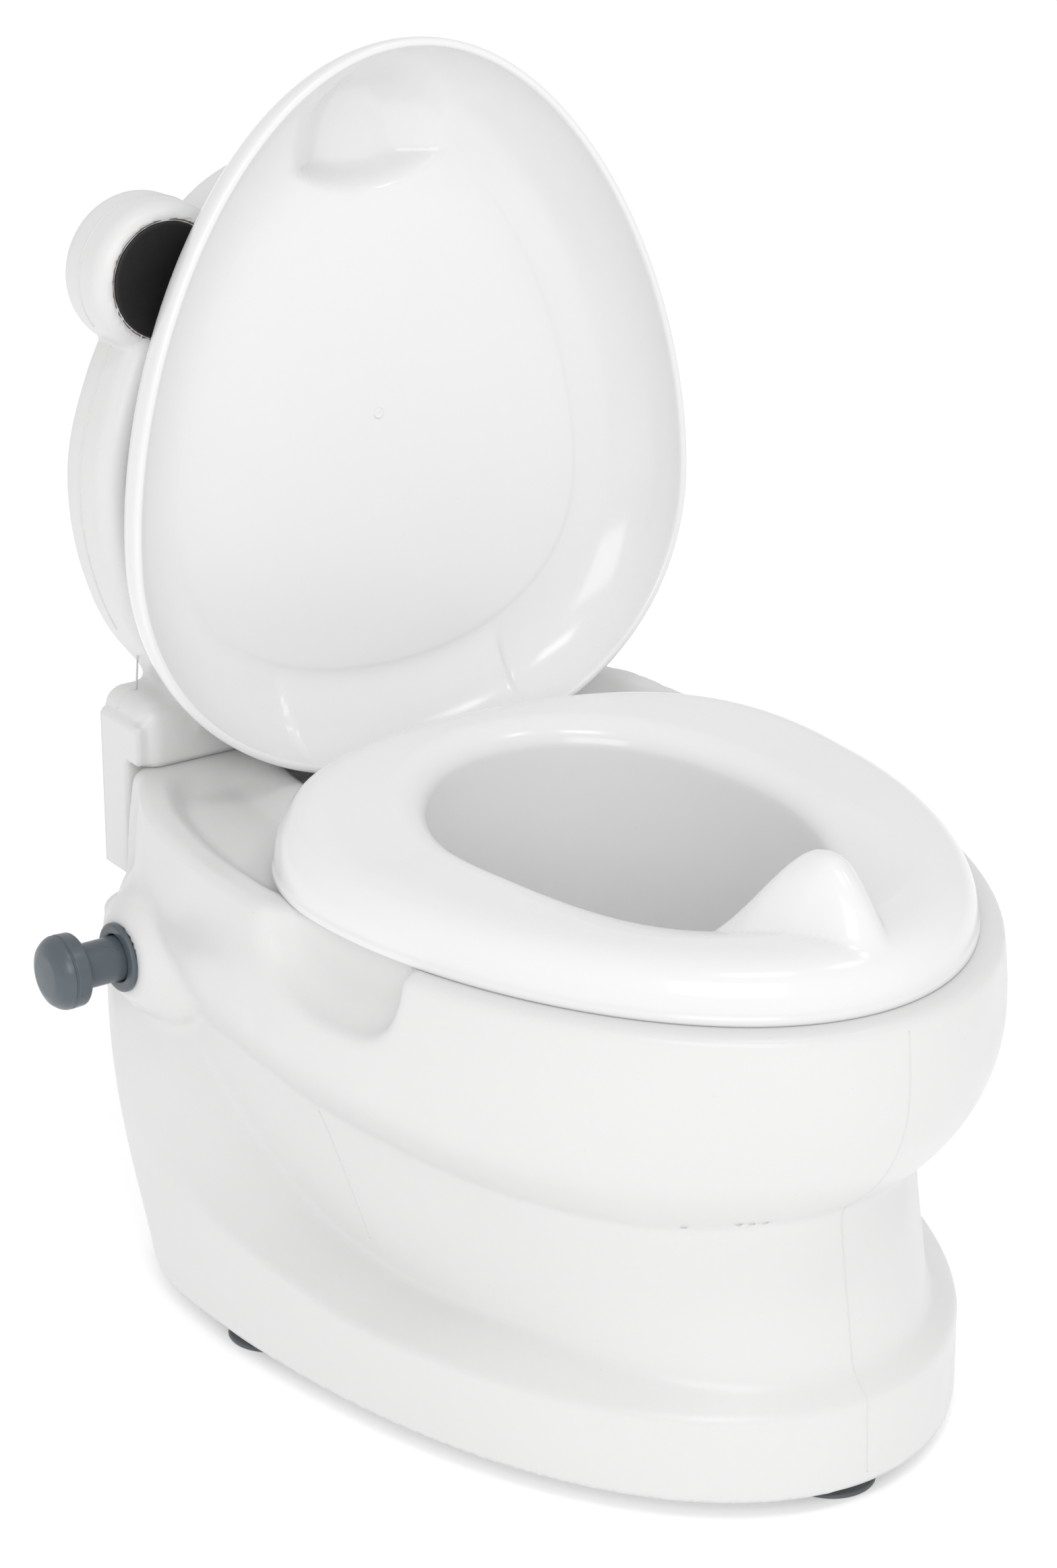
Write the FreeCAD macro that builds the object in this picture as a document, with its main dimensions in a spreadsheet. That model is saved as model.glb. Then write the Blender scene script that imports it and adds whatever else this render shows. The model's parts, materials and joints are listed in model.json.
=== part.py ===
import os
import re

import FreeCAD
import Part
import Sketcher
from FreeCAD import Matrix, Placement, Rotation, Vector

# Children's potty training chair, in millimetres.  +Z is up, the floor is z = 0,
# the chair faces -Y and is symmetrical about X = 0 apart from the flush knob on -X.

doc = FreeCAD.newDocument("potty_chair")
sheet = doc.addObject("Spreadsheet::Sheet", "Sizes")

DRIVING = {
    # whole chair
    "foot_gap": 6.5,
    "body_half_width": 136.0,
    "body_rear": 188.0,
    "wall": 3.0,
    "rim_top": 200.0,
    "running_gap": 0.4,
    # plinth, waist and bulge of the body, as distances forward of the origin
    "plinth_front": 158.6,
    "plinth_top": 41.5,
    "waist_front_low": 148.0,
    "waist_front_high": 137.0,
    "waist_half_width": 106.0,
    "waist_top": 113.5,
    "bulge_front": 174.5,
    "deck_rear_top": 208.0,
    # seat outline
    "seat_front": 161.8,
    "seat_rear": 120.6,
    "seat_half_width": 125.0,
    "seat_wide_at": 20.0,
    "seat_thickness": 22.0,
    "seat_lip": 3.6,
    "hole_front": 101.0,
    "hole_rear": 82.0,
    "hole_half_width": 68.0,
    "bowl_depth": 146.0,
    "guard_height": 24.0,
    "guard_half_width": 30.0,
    "guard_half_length": 28.0,
    "guard_centre": 128.0,
    # lid
    "lid_overhang": 5.6,
    "lid_rim_height": 206.5,
    "lid_depth": 30.0,
    "lid_wall": 2.5,
    "lid_open_angle": 92.5,
    "hinge_setback": 124.6,
    "hinge_height": 200.9,
    "hinge_pin_dia": 4.0,
    "hinge_bore_dia": 4.1,
    "knuckle_dia": 7.6,
    "knuckle_inner": 38.0,
    "knuckle_outer": 48.0,
    "recess_half_width": 57.5,
    "recess_front": 119.2,
    "recess_rear": 166.5,
    "recess_floor": 190.0,
    "bracket_thickness": 2.5,
    "hinge_screw_offset": 30.0,
    "hinge_screw_setback": 145.0,
    # finger scoops beside the seat
    "scoop_offset": 137.0,
    "scoop_setback": -6.0,
    "scoop_height": 196.0,
    # backboard
    "board_front": 173.5,
    "board_rear": 205.0,
    "board_half_width": 124.0,
    "block_front": 168.0,
    "block_half_width": 113.0,
    "block_top": 235.0,
    "neck_half_width": 96.0,
    "neck_height": 242.0,
    "cheek_height": 320.0,
    "crown_height": 446.0,
    "crown_relief": 426.5,
    "lobe_radius": 30.4,
    "lobe_offset": 90.0,
    "lobe_height": 404.2,
    "disc_radius": 23.4,
    "disc_thickness": 1.2,
    "board_screw_offset": 60.0,
    "board_screw_height": 172.0,
    "board_screw_face": 202.5,
    # flush knob
    "knob_setback": 139.5,
    "knob_height": 146.0,
    "knob_end": 175.0,
    "knob_head_radius": 15.0,
    "knob_head_length": 14.5,
    "stalk_radius": 9.2,
    "stalk_bore_radius": 9.26,
    "collar_radius": 14.0,
    "collar_barrel_radius": 11.4,
    "collar_end": 143.5,
    "boss_face": 141.0,
    "boss_radius": 22.0,
    "stalk_inner_end": 118.0,
    "rod_radius": 3.0,
    "rod_bore_radius": 3.06,
    "knob_travel": 6.0,
    "plunger_travel": 1.5,
    "spring_radius": 5.6,
    "spring_wire": 1.0,
    # sound unit
    "unit_left": 106.0,
    "unit_right": 62.0,
    "unit_front": 124.0,
    "unit_rear": 183.0,
    "unit_bottom": 102.0,
    "unit_top": 156.0,
    "unit_wall": 2.0,
    "battery_radius": 5.25,
    "battery_length": 44.5,
    # suction feet
    "foot_radius": 17.2,
    "foot_neck_radius": 8.0,
    "front_foot_setback": 137.0,
    "side_foot_offset": 115.0,
    "side_foot_setback": 74.5,
    "rear_foot_setback": 152.0,
    # the row's frame has its origin under the middle of the chair's bounding box
    "frame_shift_x": 19.0,
    "frame_shift_y": -15.5,
}

for row, (alias, number) in enumerate(DRIVING.items(), start=1):
    sheet.set(f"A{row}", alias)
    sheet.set(f"B{row}", str(number))
    sheet.setAlias(f"B{row}", alias)
doc.recompute()


def size(alias):
    """A driving dimension, read back from the sheet."""
    return float(sheet.get(alias))


def amount(text):
    """The value of a sum such as 'stalk_radius+wall-2'."""
    total = 0.0
    for sign, word in re.findall(r"([+-]?)\s*([A-Za-z0-9_.]+)", text):
        number = size(word) if word[0].isalpha() else float(word)
        total += -number if sign == "-" else number
    return total


def formula(text):
    """The same sum as an expression on the sheet."""
    return re.sub(r"([A-Za-z][A-Za-z0-9_]*)", r"Sizes.\1", text)


finished = []


def keep(item, label, placement=None):
    """Marks an object as one sub-part of the chair."""
    item.Label = label
    if placement is not None:
        item.Placement = placement
    finished.append(item)
    return item


# ---------------------------------------------------------------- PartDesign help


def origin_plane(body, role):
    for feature in body.Origin.OriginFeatures:
        if feature.Role == role:
            return feature
    raise ValueError(role)


def outline_sketch(body, name, plane, corners):
    """A closed polygon whose corners are pairs of sums of sheet dimensions."""
    sketch = body.newObject("Sketcher::SketchObject", name)
    sketch.AttachmentSupport = [(origin_plane(body, plane), "")]
    sketch.MapMode = "FlatFace"
    places = [Vector(amount(u), amount(v), 0) for u, v in corners]
    count = len(places)
    for index, place in enumerate(places):
        sketch.addGeometry(Part.LineSegment(place, places[(index + 1) % count]))
    for index in range(count):
        sketch.addConstraint(Sketcher.Constraint("Coincident", index, 2, (index + 1) % count, 1))
    for index, (u, v) in enumerate(corners):
        for kind, text, axis in (("DistanceX", u, -2), ("DistanceY", v, -1)):
            if abs(amount(text)) < 1e-9:
                sketch.addConstraint(Sketcher.Constraint("PointOnObject", index, 1, axis))
                continue
            number = sketch.addConstraint(
                Sketcher.Constraint(kind, -1, 1, index, 1, amount(text)))
            sketch.setExpression(f"Constraints[{number}]", formula(text))
    return sketch


def turned_part(label, corners, placement):
    """A solid of revolution about its own Z axis, from a half section in XZ."""
    body = doc.addObject("PartDesign::Body", label)
    sketch = outline_sketch(body, label + "_section", "XZ_Plane", corners)
    turn = body.newObject("PartDesign::Revolution", label + "_turn")
    turn.Profile = sketch
    turn.ReferenceAxis = (sketch, ["V_Axis"])
    turn.Angle = 360
    body.Tip = turn
    return keep(body, label, placement)


def padded_part(label, corners, length, placement, holes=()):
    """A flat profile in XY padded upwards, with round holes (u, v, radius)."""
    body = doc.addObject("PartDesign::Body", label)
    sketch = outline_sketch(body, label + "_outline", "XY_Plane", corners)
    for u, v, radius in holes:
        circle = Part.Circle(Vector(amount(u), amount(v), 0), Vector(0, 0, 1), amount(radius))
        index = sketch.addGeometry(circle)
        number = sketch.addConstraint(Sketcher.Constraint("Radius", index, amount(radius)))
        sketch.setExpression(f"Constraints[{number}]", formula(radius))
    pad = body.newObject("PartDesign::Pad", label + "_pad")
    pad.Profile = sketch
    pad.Length = amount(length)
    pad.setExpression("Length", formula(length))
    body.Tip = pad
    return keep(body, label, placement)


def rectangle(half_u, half_v):
    return [("-" + half_u, "-" + half_v), (half_u, "-" + half_v), (half_u, half_v), ("-" + half_u, half_v)]


# --------------------------------------------------------------- free-form help


def oval(front, half_width, wide_at, rear, height, nose=(0.58, 0.56), tail=(0.6, 0.6)):
    """A closed egg outline: four cubic curves meeting at front, sides and rear.

    nose and tail say how full the front and rear quarters are; 0.55 is an ellipse.
    """
    reach = front + wide_at
    depth = rear - wide_at
    quarter_front = [
        (0, -front),
        (nose[0] * half_width, -front),
        (half_width, wide_at - nose[1] * reach),
        (half_width, wide_at),
    ]
    quarter_rear = [
        (half_width, wide_at),
        (half_width, wide_at + tail[0] * depth),
        (tail[1] * half_width, rear),
        (0, rear),
    ]

    def edge(points, side):
        curve = Part.BezierCurve()
        curve.setPoles([Vector(side * x, y, height) for x, y in points])
        return curve.toShape()

    right = [edge(quarter_front, 1), edge(quarter_rear, 1)]
    left = [edge(quarter_rear[::-1], -1), edge(quarter_front[::-1], -1)]
    return Part.Wire(right + left)


def loft(wires):
    return Part.makeLoft(wires, True, True)


def box(low, high):
    span = Vector(*high) - Vector(*low)
    return Part.makeBox(span.x, span.y, span.z, Vector(*low))


def ball(centre, radii):
    """An ellipsoid with its axes along X, Y and Z."""
    stretch = Matrix()
    stretch.scale(Vector(*radii))
    shape = Part.makeSphere(1.0).transformGeometry(stretch)
    shape.translate(Vector(*centre))
    return shape


def rod(radius, start, end):
    span = Vector(*end) - Vector(*start)
    return Part.makeCylinder(radius, span.Length, Vector(*start), span)


def feature(label, shape, placement=None):
    item = doc.addObject("Part::Feature", label)
    item.Shape = shape
    return keep(item, label, placement)


def seat_oval(offset, height):
    return oval(
        size("seat_front") + offset,
        size("seat_half_width") + offset,
        size("seat_wide_at"),
        size("seat_rear") + offset,
        height,
        nose=(0.576, 0.451),
    )


# --------------------------------------------------------------------- the body


def body_solid(inset):
    """The body's outer form, or its hollow when inset is the wall."""
    low = size("foot_gap") + inset
    plinth = size("plinth_top") - inset
    waist_low = size("plinth_top") + 8.5 - inset
    half = size("body_half_width")
    rear = size("body_rear") - inset
    plinth_loft = loft([
        oval(size("plinth_front") - inset, half - inset, 95, rear - 4, low, tail=(0.85, 0.85)),
        oval(size("plinth_front") - 2.2 - inset, half - 2 - inset, 95, rear, plinth, tail=(0.85, 0.85)),
        oval(size("waist_front_low") - inset, half - 12 - inset, 95, rear, waist_low, tail=(0.9, 0.9)),
    ])
    waist_high = size("waist_top") + 22
    waist_loft = loft([
        oval(size("waist_front_low") - inset, size("waist_half_width") - inset, 30, rear - 30,
             waist_low - 12, tail=(0.8, 0.8)),
        oval(size("waist_front_high") - inset, size("waist_half_width") + 4 - inset, 50, rear - 30,
             waist_high, tail=(0.8, 0.8)),
    ])
    flank_loft = loft([
        oval(40 - inset, half - 3 - inset, 80, rear, plinth - 8, nose=(0.75, 0.6), tail=(0.92, 0.92)),
        oval(-40 - inset, half - 3 - inset, 130, rear, size("waist_top") + 36, nose=(0.75, 0.6),
             tail=(0.95, 0.95)),
    ])
    front = size("bulge_front")
    levels = [
        (size("waist_top") + inset, front - 38.5, half - 26),
        (131.0, front - 15.5, half - 8),
        (153.0, front - 4.0, half),
        (176.0, front, half + 1),
        (192.0, front - 1.5, half),
        (size("rim_top") - inset, front - 6.5, half - 5),
    ]
    bulge_loft = loft([
        oval(reach - inset, width - inset, 25, rear, level, nose=(0.576, 0.47), tail=(0.96, 0.96))
        for level, reach, width in levels
    ])
    return plinth_loft.fuse([waist_loft, flank_loft, bulge_loft])


def deck_wedge():
    """The shelf behind the seat, which rises towards the backboard."""
    top = size("rim_top")
    rear = size("body_rear")
    rise = size("deck_rear_top")
    width = size("body_half_width")
    profile = [(width, 124, top - 3), (width, rear - 3, top - 3), (width, rear - 3, rise),
               (width, rear - 22, rise), (width, 126, top)]
    points = [Vector(-x, y, z) for x, y, z in profile]
    face = Part.Face(Part.makePolygon(points + points[:1]))
    half = size("body_half_width") - 5
    limit = loft([
        oval(size("bulge_front"), half, 25, rear, level, tail=(0.96, 0.96))
        for level in (top - 10, rise + 5)
    ])
    return face.extrude(Vector(2 * width, 0, 0)).common(limit)


def unit_box(grow):
    low = [-size("unit_left") - grow, size("unit_front") - grow, size("unit_bottom") - grow]
    high = [-size("unit_right") + grow, size("body_rear") + 5, size("unit_top") + grow]
    return box(low, high)


def make_body():
    wall = size("wall")
    gap = size("running_gap")
    outer = body_solid(0)
    shell = outer.cut(body_solid(wall))
    shell = shell.fuse(deck_wedge())
    knob_y = size("knob_setback")
    knob_z = size("knob_height")
    boss = rod(size("boss_radius"), (-112, knob_y, knob_z), (-size("boss_face"), knob_y, knob_z))
    shell = shell.fuse(boss)
    bay_walls = unit_box(gap + wall).common(outer)
    shell = shell.fuse(bay_walls)
    shell = shell.cut(unit_box(gap))
    barrel = size("collar_barrel_radius") + 0.05
    bay_side = -size("unit_left") + 1
    shell = shell.cut(rod(barrel, (bay_side, knob_y, knob_z), (-size("boss_face") - 5, knob_y, knob_z)))
    opening = loft([seat_oval(-13, 150), seat_oval(-13, size("rim_top") + 5)])
    opening = opening.cut(box((-150, 112, 100), (150, 200, 260)))
    shell = shell.cut(opening)
    half = size("recess_half_width")
    front = size("recess_front")
    rear = size("recess_rear")
    low = size("recess_floor")
    tray = box((-half - wall, front - wall, low - wall), (half + wall, rear + wall, size("rim_top") - 1))
    shell = shell.fuse(tray.common(outer)).cut(box((-half, front, low), (half, rear, low + 40)))
    hinge_screw_y = size("hinge_screw_setback")
    board_screw_z = size("board_screw_height")
    for side in (-1, 1):
        scoop_at = (side * size("scoop_offset"), size("scoop_setback"), size("scoop_height"))
        scoop_wall = outer.common(ball(scoop_at, (20, 53, 33))).cut(opening)
        shell = shell.fuse(scoop_wall).cut(ball(scoop_at, (17, 50, 30)))
        x = side * size("hinge_screw_offset")
        shell = shell.cut(rod(1.6, (x, hinge_screw_y, low - 10), (x, hinge_screw_y, low + 5)))
        x = side * size("board_screw_offset")
        shell = shell.cut(rod(1.6, (x, 180, board_screw_z), (x, 190, board_screw_z)))
    for x, y in foot_places():
        shell = shell.cut(rod(size("foot_neck_radius") - 2.9, (x, y, 0), (x, y, 12)))
    return shell.removeSplitter()


def foot_places():
    side = size("side_foot_offset")
    return [
        (0, -size("front_foot_setback")),
        (-side, size("side_foot_setback")),
        (side, size("side_foot_setback")),
        (0, size("rear_foot_setback")),
    ]


feature("body_shell", make_body())

# -------------------------------------------------------- seat, bowl and guard


def make_insert():
    gap = size("running_gap")
    base = size("rim_top") + gap
    top = size("rim_top") + size("seat_thickness")
    ring = loft([
        seat_oval(-1.5, base),
        seat_oval(0, base + size("seat_lip")),
        seat_oval(-2.0, base + 12),
        seat_oval(-8.4, top - 1.5),
        seat_oval(-22, top),
    ])
    hollow = loft([seat_oval(-6, base - 1), seat_oval(-8, base + 9), seat_oval(-24, top - 4)])

    def bowl(grow, top_level, floor_level):
        front = size("hole_front") + grow
        rear = size("hole_rear") + grow
        half = size("hole_half_width") + grow
        return loft([
            oval(front - 30, half - 22, 5, rear - 30, floor_level),
            oval(front - 16, half - 12, 5, rear - 16, floor_level + 12),
            oval(front - 8, half - 6, 5, rear - 8, floor_level + 50),
            oval(front, half, 5, rear, top_level),
        ])

    wall = size("lid_wall")
    floor_level = top - size("bowl_depth")
    outside = bowl(wall, top - 4, floor_level)
    skirt = loft([seat_oval(-16, base - 14), seat_oval(-16, top - 6)])
    skirt = skirt.cut(loft([seat_oval(-18.5, base - 15), seat_oval(-18.5, top - 5)]))
    shape = ring.cut(hollow).fuse([outside, skirt])
    guard_centre = (0, -size("guard_centre"), top - 6)
    guard = ball(guard_centre, (size("guard_half_width"), size("guard_half_length"),
                                size("guard_height") + 6))
    guard = guard.cut(box((-60, -200, 100), (60, 0, base + 8)))
    inside = bowl(0, top + 4, floor_level + wall)
    shape = shape.cut(inside.cut(box((-90, -200, top - 14), (90, -100, top + 30))))
    shape = shape.fuse(guard)
    return shape.removeSplitter()


feature("seat_and_bowl", make_insert())

# -------------------------------------------------------------------------- lid


def make_lid():
    """The lid, built closed over the seat."""
    rim = size("lid_rim_height")
    depth = size("lid_depth")
    wall = size("lid_wall")
    over = size("lid_overhang")
    outside = loft([
        seat_oval(over, rim),
        seat_oval(over - 1, rim + 9),
        seat_oval(over - 6, rim + 20),
        seat_oval(over - 19, rim + depth - 0.5),
        seat_oval(over - 36, rim + depth + wall),
    ])
    inside = loft([
        seat_oval(over - wall, rim - 0.01),
        seat_oval(over - wall - 1, rim + 9),
        seat_oval(over - wall - 7, rim + 18.5),
        seat_oval(over - 22, rim + depth - 3.5),
        seat_oval(over - 38, rim + depth),
    ])
    top = size("rim_top") + size("seat_thickness")
    pocket_centre = (0, -size("guard_centre") - 2, top - 6)
    pocket = [size("guard_half_width") + 5, size("guard_half_length") + 4, size("guard_height") + 9]
    bump = ball(pocket_centre, [value + wall for value in pocket])
    bump = bump.cut(box((-90, -260, 100), (90, 0, rim + 24)))
    shape = outside.fuse(bump).cut(inside).cut(ball(pocket_centre, pocket))
    hinge_y = size("hinge_setback")
    hinge_z = size("hinge_height")
    radius = size("knuckle_dia") / 2
    for side in (-1, 1):
        inner = side * size("knuckle_inner")
        outer = side * size("knuckle_outer")
        knuckle = rod(radius, (inner, hinge_y, hinge_z), (outer, hinge_y, hinge_z))
        web = box((min(inner, outer), hinge_y - radius, hinge_z),
                  (max(inner, outer), hinge_y + radius, rim + 8))
        web = web.cut(inside)
        shape = shape.fuse([knuckle, web])
    bore = rod(size("hinge_bore_dia") / 2, (-60, hinge_y, hinge_z), (60, hinge_y, hinge_z))
    return shape.cut(bore).removeSplitter()


hinge_point = Vector(0, size("hinge_setback"), size("hinge_height"))
opened = Placement(Vector(0, 0, 0), Rotation(Vector(1, 0, 0), -size("lid_open_angle")), hinge_point)
lid_shape = make_lid()
lid_shape.transformShape(opened.toMatrix())
feature("lid", lid_shape)

# -------------------------------------------------------------- hinge hardware


def make_bracket():
    hinge_y = size("hinge_setback")
    hinge_z = size("hinge_height")
    half = size("recess_half_width") - 1
    low = size("recess_floor") + 0.1
    plate = box((-half, hinge_y - 1.6, low), (half, 160, low + size("bracket_thickness")))
    ear_inner = size("knuckle_outer") + 1.3
    screw_y = size("hinge_screw_setback")
    for side in (-1, 1):
        near = side * ear_inner
        far = side * (ear_inner + 4)
        ear = rod(4.6, (near, hinge_y, hinge_z), (far, hinge_y, hinge_z))
        foot = box((min(near, far), hinge_y - 1.6, low), (max(near, far), hinge_y + 4.6, hinge_z))
        plate = plate.fuse([ear, foot])
        x = side * size("hinge_screw_offset")
        plate = plate.cut(rod(1.8, (x, screw_y, low - 5), (x, screw_y, low + 10)))
    bore = rod(size("hinge_pin_dia") / 2 + 0.02, (-60, hinge_y, hinge_z), (60, hinge_y, hinge_z))
    return plate.cut(bore).removeSplitter()


feature("hinge_bracket", make_bracket())


def make_hinge_pins():
    hinge_y = size("hinge_setback")
    hinge_z = size("hinge_height")
    start = size("knuckle_inner") + 1
    end = size("knuckle_outer") + 5.3
    radius = size("hinge_pin_dia") / 2
    pins = []
    for side in (-1, 1):
        shank = rod(radius, (side * start, hinge_y, hinge_z), (side * end, hinge_y, hinge_z))
        head = rod(radius + 1.2, (side * end, hinge_y, hinge_z), (side * (end + 1.2), hinge_y, hinge_z))
        pins.append(shank.fuse(head).removeSplitter())
    return Part.makeCompound(pins)


feature("hinge_pins", make_hinge_pins())


def screw(length, radius, head_radius, head_height):
    """A pan-head screw, head up, its shank below z = 0, with a cross recess."""
    shank = rod(radius, (0, 0, -length), (0, 0, 0.01))
    head = Part.makeCylinder(head_radius, head_height)
    head = head.cut(box((-head_radius * 0.6, -0.4, head_height - 0.7), (head_radius * 0.6, 0.4, 9)))
    head = head.cut(box((-0.4, -head_radius * 0.6, head_height - 0.7), (0.4, head_radius * 0.6, 9)))
    return shank.fuse(head).removeSplitter()


def screws(label, places, rotation, length=9, radius=1.55, head_radius=3.0, head_height=1.8):
    pieces = []
    for place in places:
        piece = screw(length, radius, head_radius, head_height)
        piece.transformShape(Placement(Vector(*place), rotation).toMatrix())
        pieces.append(piece)
    return feature(label, Part.makeCompound(pieces) if len(pieces) > 1 else pieces[0])


UPWARD = Rotation()
REARWARD = Rotation(Vector(1, 0, 0), -90)
bracket_top = size("recess_floor") + 0.11 + size("bracket_thickness")
hinge_screw_places = [(side * size("hinge_screw_offset"), size("hinge_screw_setback"), bracket_top)
                      for side in (-1, 1)]
screws("hinge_screws", hinge_screw_places, UPWARD, length=8)

# -------------------------------------------------------------------- backboard


def board_profile(inset, y):
    """The head-shaped outline with its two round lobes, at one depth."""
    half = size("board_half_width") - inset
    crown = size("crown_height") - inset
    cheek = size("cheek_height")
    neck = size("neck_half_width") - inset
    low = size("neck_height") - 10
    right = Part.BSplineCurve()
    right.interpolate([Vector(neck - 6, y, low), Vector(neck + 2, y, low + 14),
                       Vector(half - 8, y, cheek - 43), Vector(half, y, cheek),
                       Vector(half - 8, y, cheek + 36), Vector(half - 24, y, cheek + 72),
                       Vector(66, y, crown - 16), Vector(0, y, crown)])
    right_edge = right.toShape()
    left_edge = right_edge.mirror(Vector(0, 0, 0), Vector(1, 0, 0))
    base = Part.makeLine(Vector(-neck + 6, y, low), Vector(neck - 6, y, low))
    return Part.Wire([right_edge, left_edge, base])


def slab(inset, front, rear):
    """Head and lobes between two depths."""
    head = Part.Face(board_profile(inset, front)).extrude(Vector(0, rear - front, 0))
    radius = size("lobe_radius") - inset
    for side in (-1, 1):
        x = side * size("lobe_offset")
        z = size("lobe_height")
        head = head.fuse(rod(radius, (x, front, z), (x, rear, z)))
    return head


def block(inset):
    """The foot of the board, which hooks over the back of the body."""
    half = size("block_half_width") - inset
    front = size("block_front") + inset
    rear = size("board_rear") + 0.5 - inset
    top = size("block_top") - inset
    deck = size("deck_rear_top") + size("running_gap")
    back = size("body_rear") + size("running_gap")
    bottom = 158.0
    upper = box((-half, front, deck + inset), (half, rear, top))
    leg = box((-half, back + inset, bottom + inset), (half, rear, deck + 5))
    return upper.fuse(leg)


def make_board():
    wall = size("wall") - 0.5
    front = size("board_front")
    rear = size("board_rear")
    outer = slab(0, front, rear).fuse(block(0))
    hollow = slab(wall, front + wall, rear - wall).fuse(block(wall))
    shape = outer.cut(hollow)
    relief = size("crown_relief")
    relief_wall = box((-40, front, relief - wall), (40, 194.3, size("crown_height") + 5))
    shape = shape.fuse(relief_wall.common(outer))
    shape = shape.cut(box((-37, front - 1, relief), (37, 191.5, size("crown_height") + 9)))
    screw_z = size("board_screw_height")
    for side in (-1, 1):
        x = side * size("lobe_offset")
        z = size("lobe_height")
        shape = shape.cut(rod(size("disc_radius") + 0.3, (x, front - 1, z), (x, front + 0.8, z)))
        x = side * size("board_screw_offset")
        sleeve = rod(4.5, (x, 188.4, screw_z), (x, 205.5, screw_z))
        shape = shape.fuse(sleeve).cut(rod(1.8, (x, 180, screw_z), (x, 210, screw_z)))
        shape = shape.cut(rod(3.3, (x, size("board_screw_face"), screw_z), (x, 210, screw_z)))
    return shape.removeSplitter()


feature("backboard", make_board())
board_screw_places = [(side * size("board_screw_offset"), size("board_screw_face"), size("board_screw_height"))
                      for side in (-1, 1)]
screws("backboard_screws", board_screw_places, REARWARD, length=21)

DISC = [("0", "0"), ("disc_radius", "0"), ("disc_radius", "disc_thickness-0.4"),
        ("disc_radius-0.4", "disc_thickness"), ("0", "disc_thickness")]
for side, word in ((-1, "left"), (1, "right")):
    seat_point = Vector(side * size("lobe_offset"), size("board_front") + 0.8, size("lobe_height"))
    turned_part("lobe_disc_" + word, DISC, Placement(seat_point, Rotation(Vector(1, 0, 0), 90)))

# ------------------------------------------------------------------- flush knob

OUTWARD = Rotation(Vector(0, 1, 0), -90)
knob_axis = Vector(0, size("knob_setback"), size("knob_height"))

turned_part("flush_knob", [
    ("0", "knob_end"),
    ("knob_head_radius-6", "knob_end-1"),
    ("knob_head_radius-2", "knob_end-5"),
    ("knob_head_radius", "knob_end-10"),
    ("knob_head_radius", "knob_end-knob_head_length+1.5"),
    ("knob_head_radius-1.5", "knob_end-knob_head_length"),
    ("stalk_radius", "knob_end-knob_head_length"),
    ("stalk_radius", "stalk_inner_end"),
    ("rod_radius", "stalk_inner_end"),
    ("rod_radius", "unit_left-7.8"),
    ("0", "unit_left-7.8"),
], Placement(knob_axis, OUTWARD))

turned_part("knob_collar", [
    ("stalk_bore_radius", "collar_end-0.8"),
    ("stalk_bore_radius+0.8", "collar_end"),
    ("collar_radius-2", "collar_end"),
    ("collar_radius", "collar_end-2"),
    ("collar_radius", "boss_face"),
    ("collar_barrel_radius", "boss_face"),
    ("collar_barrel_radius", "boss_face-22"),
    ("stalk_bore_radius", "boss_face-22"),
], Placement(knob_axis, OUTWARD))

turned_part("knob_clip", [
    ("rod_radius", "unit_left-3.2"),
    ("rod_radius+2.2", "unit_left-3.2"),
    ("rod_radius+2.2", "unit_left-4"),
    ("rod_radius", "unit_left-4"),
], Placement(knob_axis, OUTWARD))


def make_spring():
    """The return spring round the rod, between the stalk and the sound unit."""
    start = size("unit_left") + 0.05 + size("spring_wire") / 2
    end = size("stalk_inner_end") - 0.05 - size("spring_wire") / 2
    coil = Part.makeHelix((end - start) / 4.5, end - start, size("spring_radius"))
    first = coil.Edges[0].valueAt(coil.Edges[0].FirstParameter)
    tangent = coil.Edges[0].tangentAt(coil.Edges[0].FirstParameter)
    wire = Part.Wire(Part.Circle(first, tangent, size("spring_wire") / 2).toShape())
    spring = Part.Wire(coil.Edges).makePipeShell([wire], True, True)
    spring.translate(Vector(0, 0, start))
    spring.transformShape(Placement(knob_axis, OUTWARD).toMatrix())
    return spring


feature("return_spring", make_spring())

# ------------------------------------------------------------------- sound unit


def make_case():
    wall = size("unit_wall")
    left = -size("unit_left")
    right = -size("unit_right")
    front = size("unit_front")
    rear = size("unit_rear")
    low = size("unit_bottom")
    high = size("unit_top")
    case = box((left, front, low), (right, rear, high))
    case = case.cut(box((left + wall, front + wall, low + wall), (right - wall, rear + 1, high - wall)))
    divider = box((left + wall, 150, low + 25), (right - wall, rear, low + 26.5))
    case = case.fuse(divider)
    case = case.cut(rod(size("rod_bore_radius"), (left - 1, knob_axis.y, knob_axis.z),
                        (left + wall + 1, knob_axis.y, knob_axis.z)))
    for step in range(5):
        z = low + 30 + 4 * step
        case = case.cut(box((right - wall - 1, 132, z), (right + 1, 152, z + 1.6)))
    boss = rod(3.4, (left + 5.0, rear - 14, high - 6.5), (left + 5.0, rear, high - 6.5))
    case = case.fuse(boss)
    case = case.cut(rod(1.2, (left + 5.0, rear - 12, high - 6.5), (left + 5.0, rear + 1, high - 6.5)))
    return case.removeSplitter()


feature("sound_unit_case", make_case())

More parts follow.
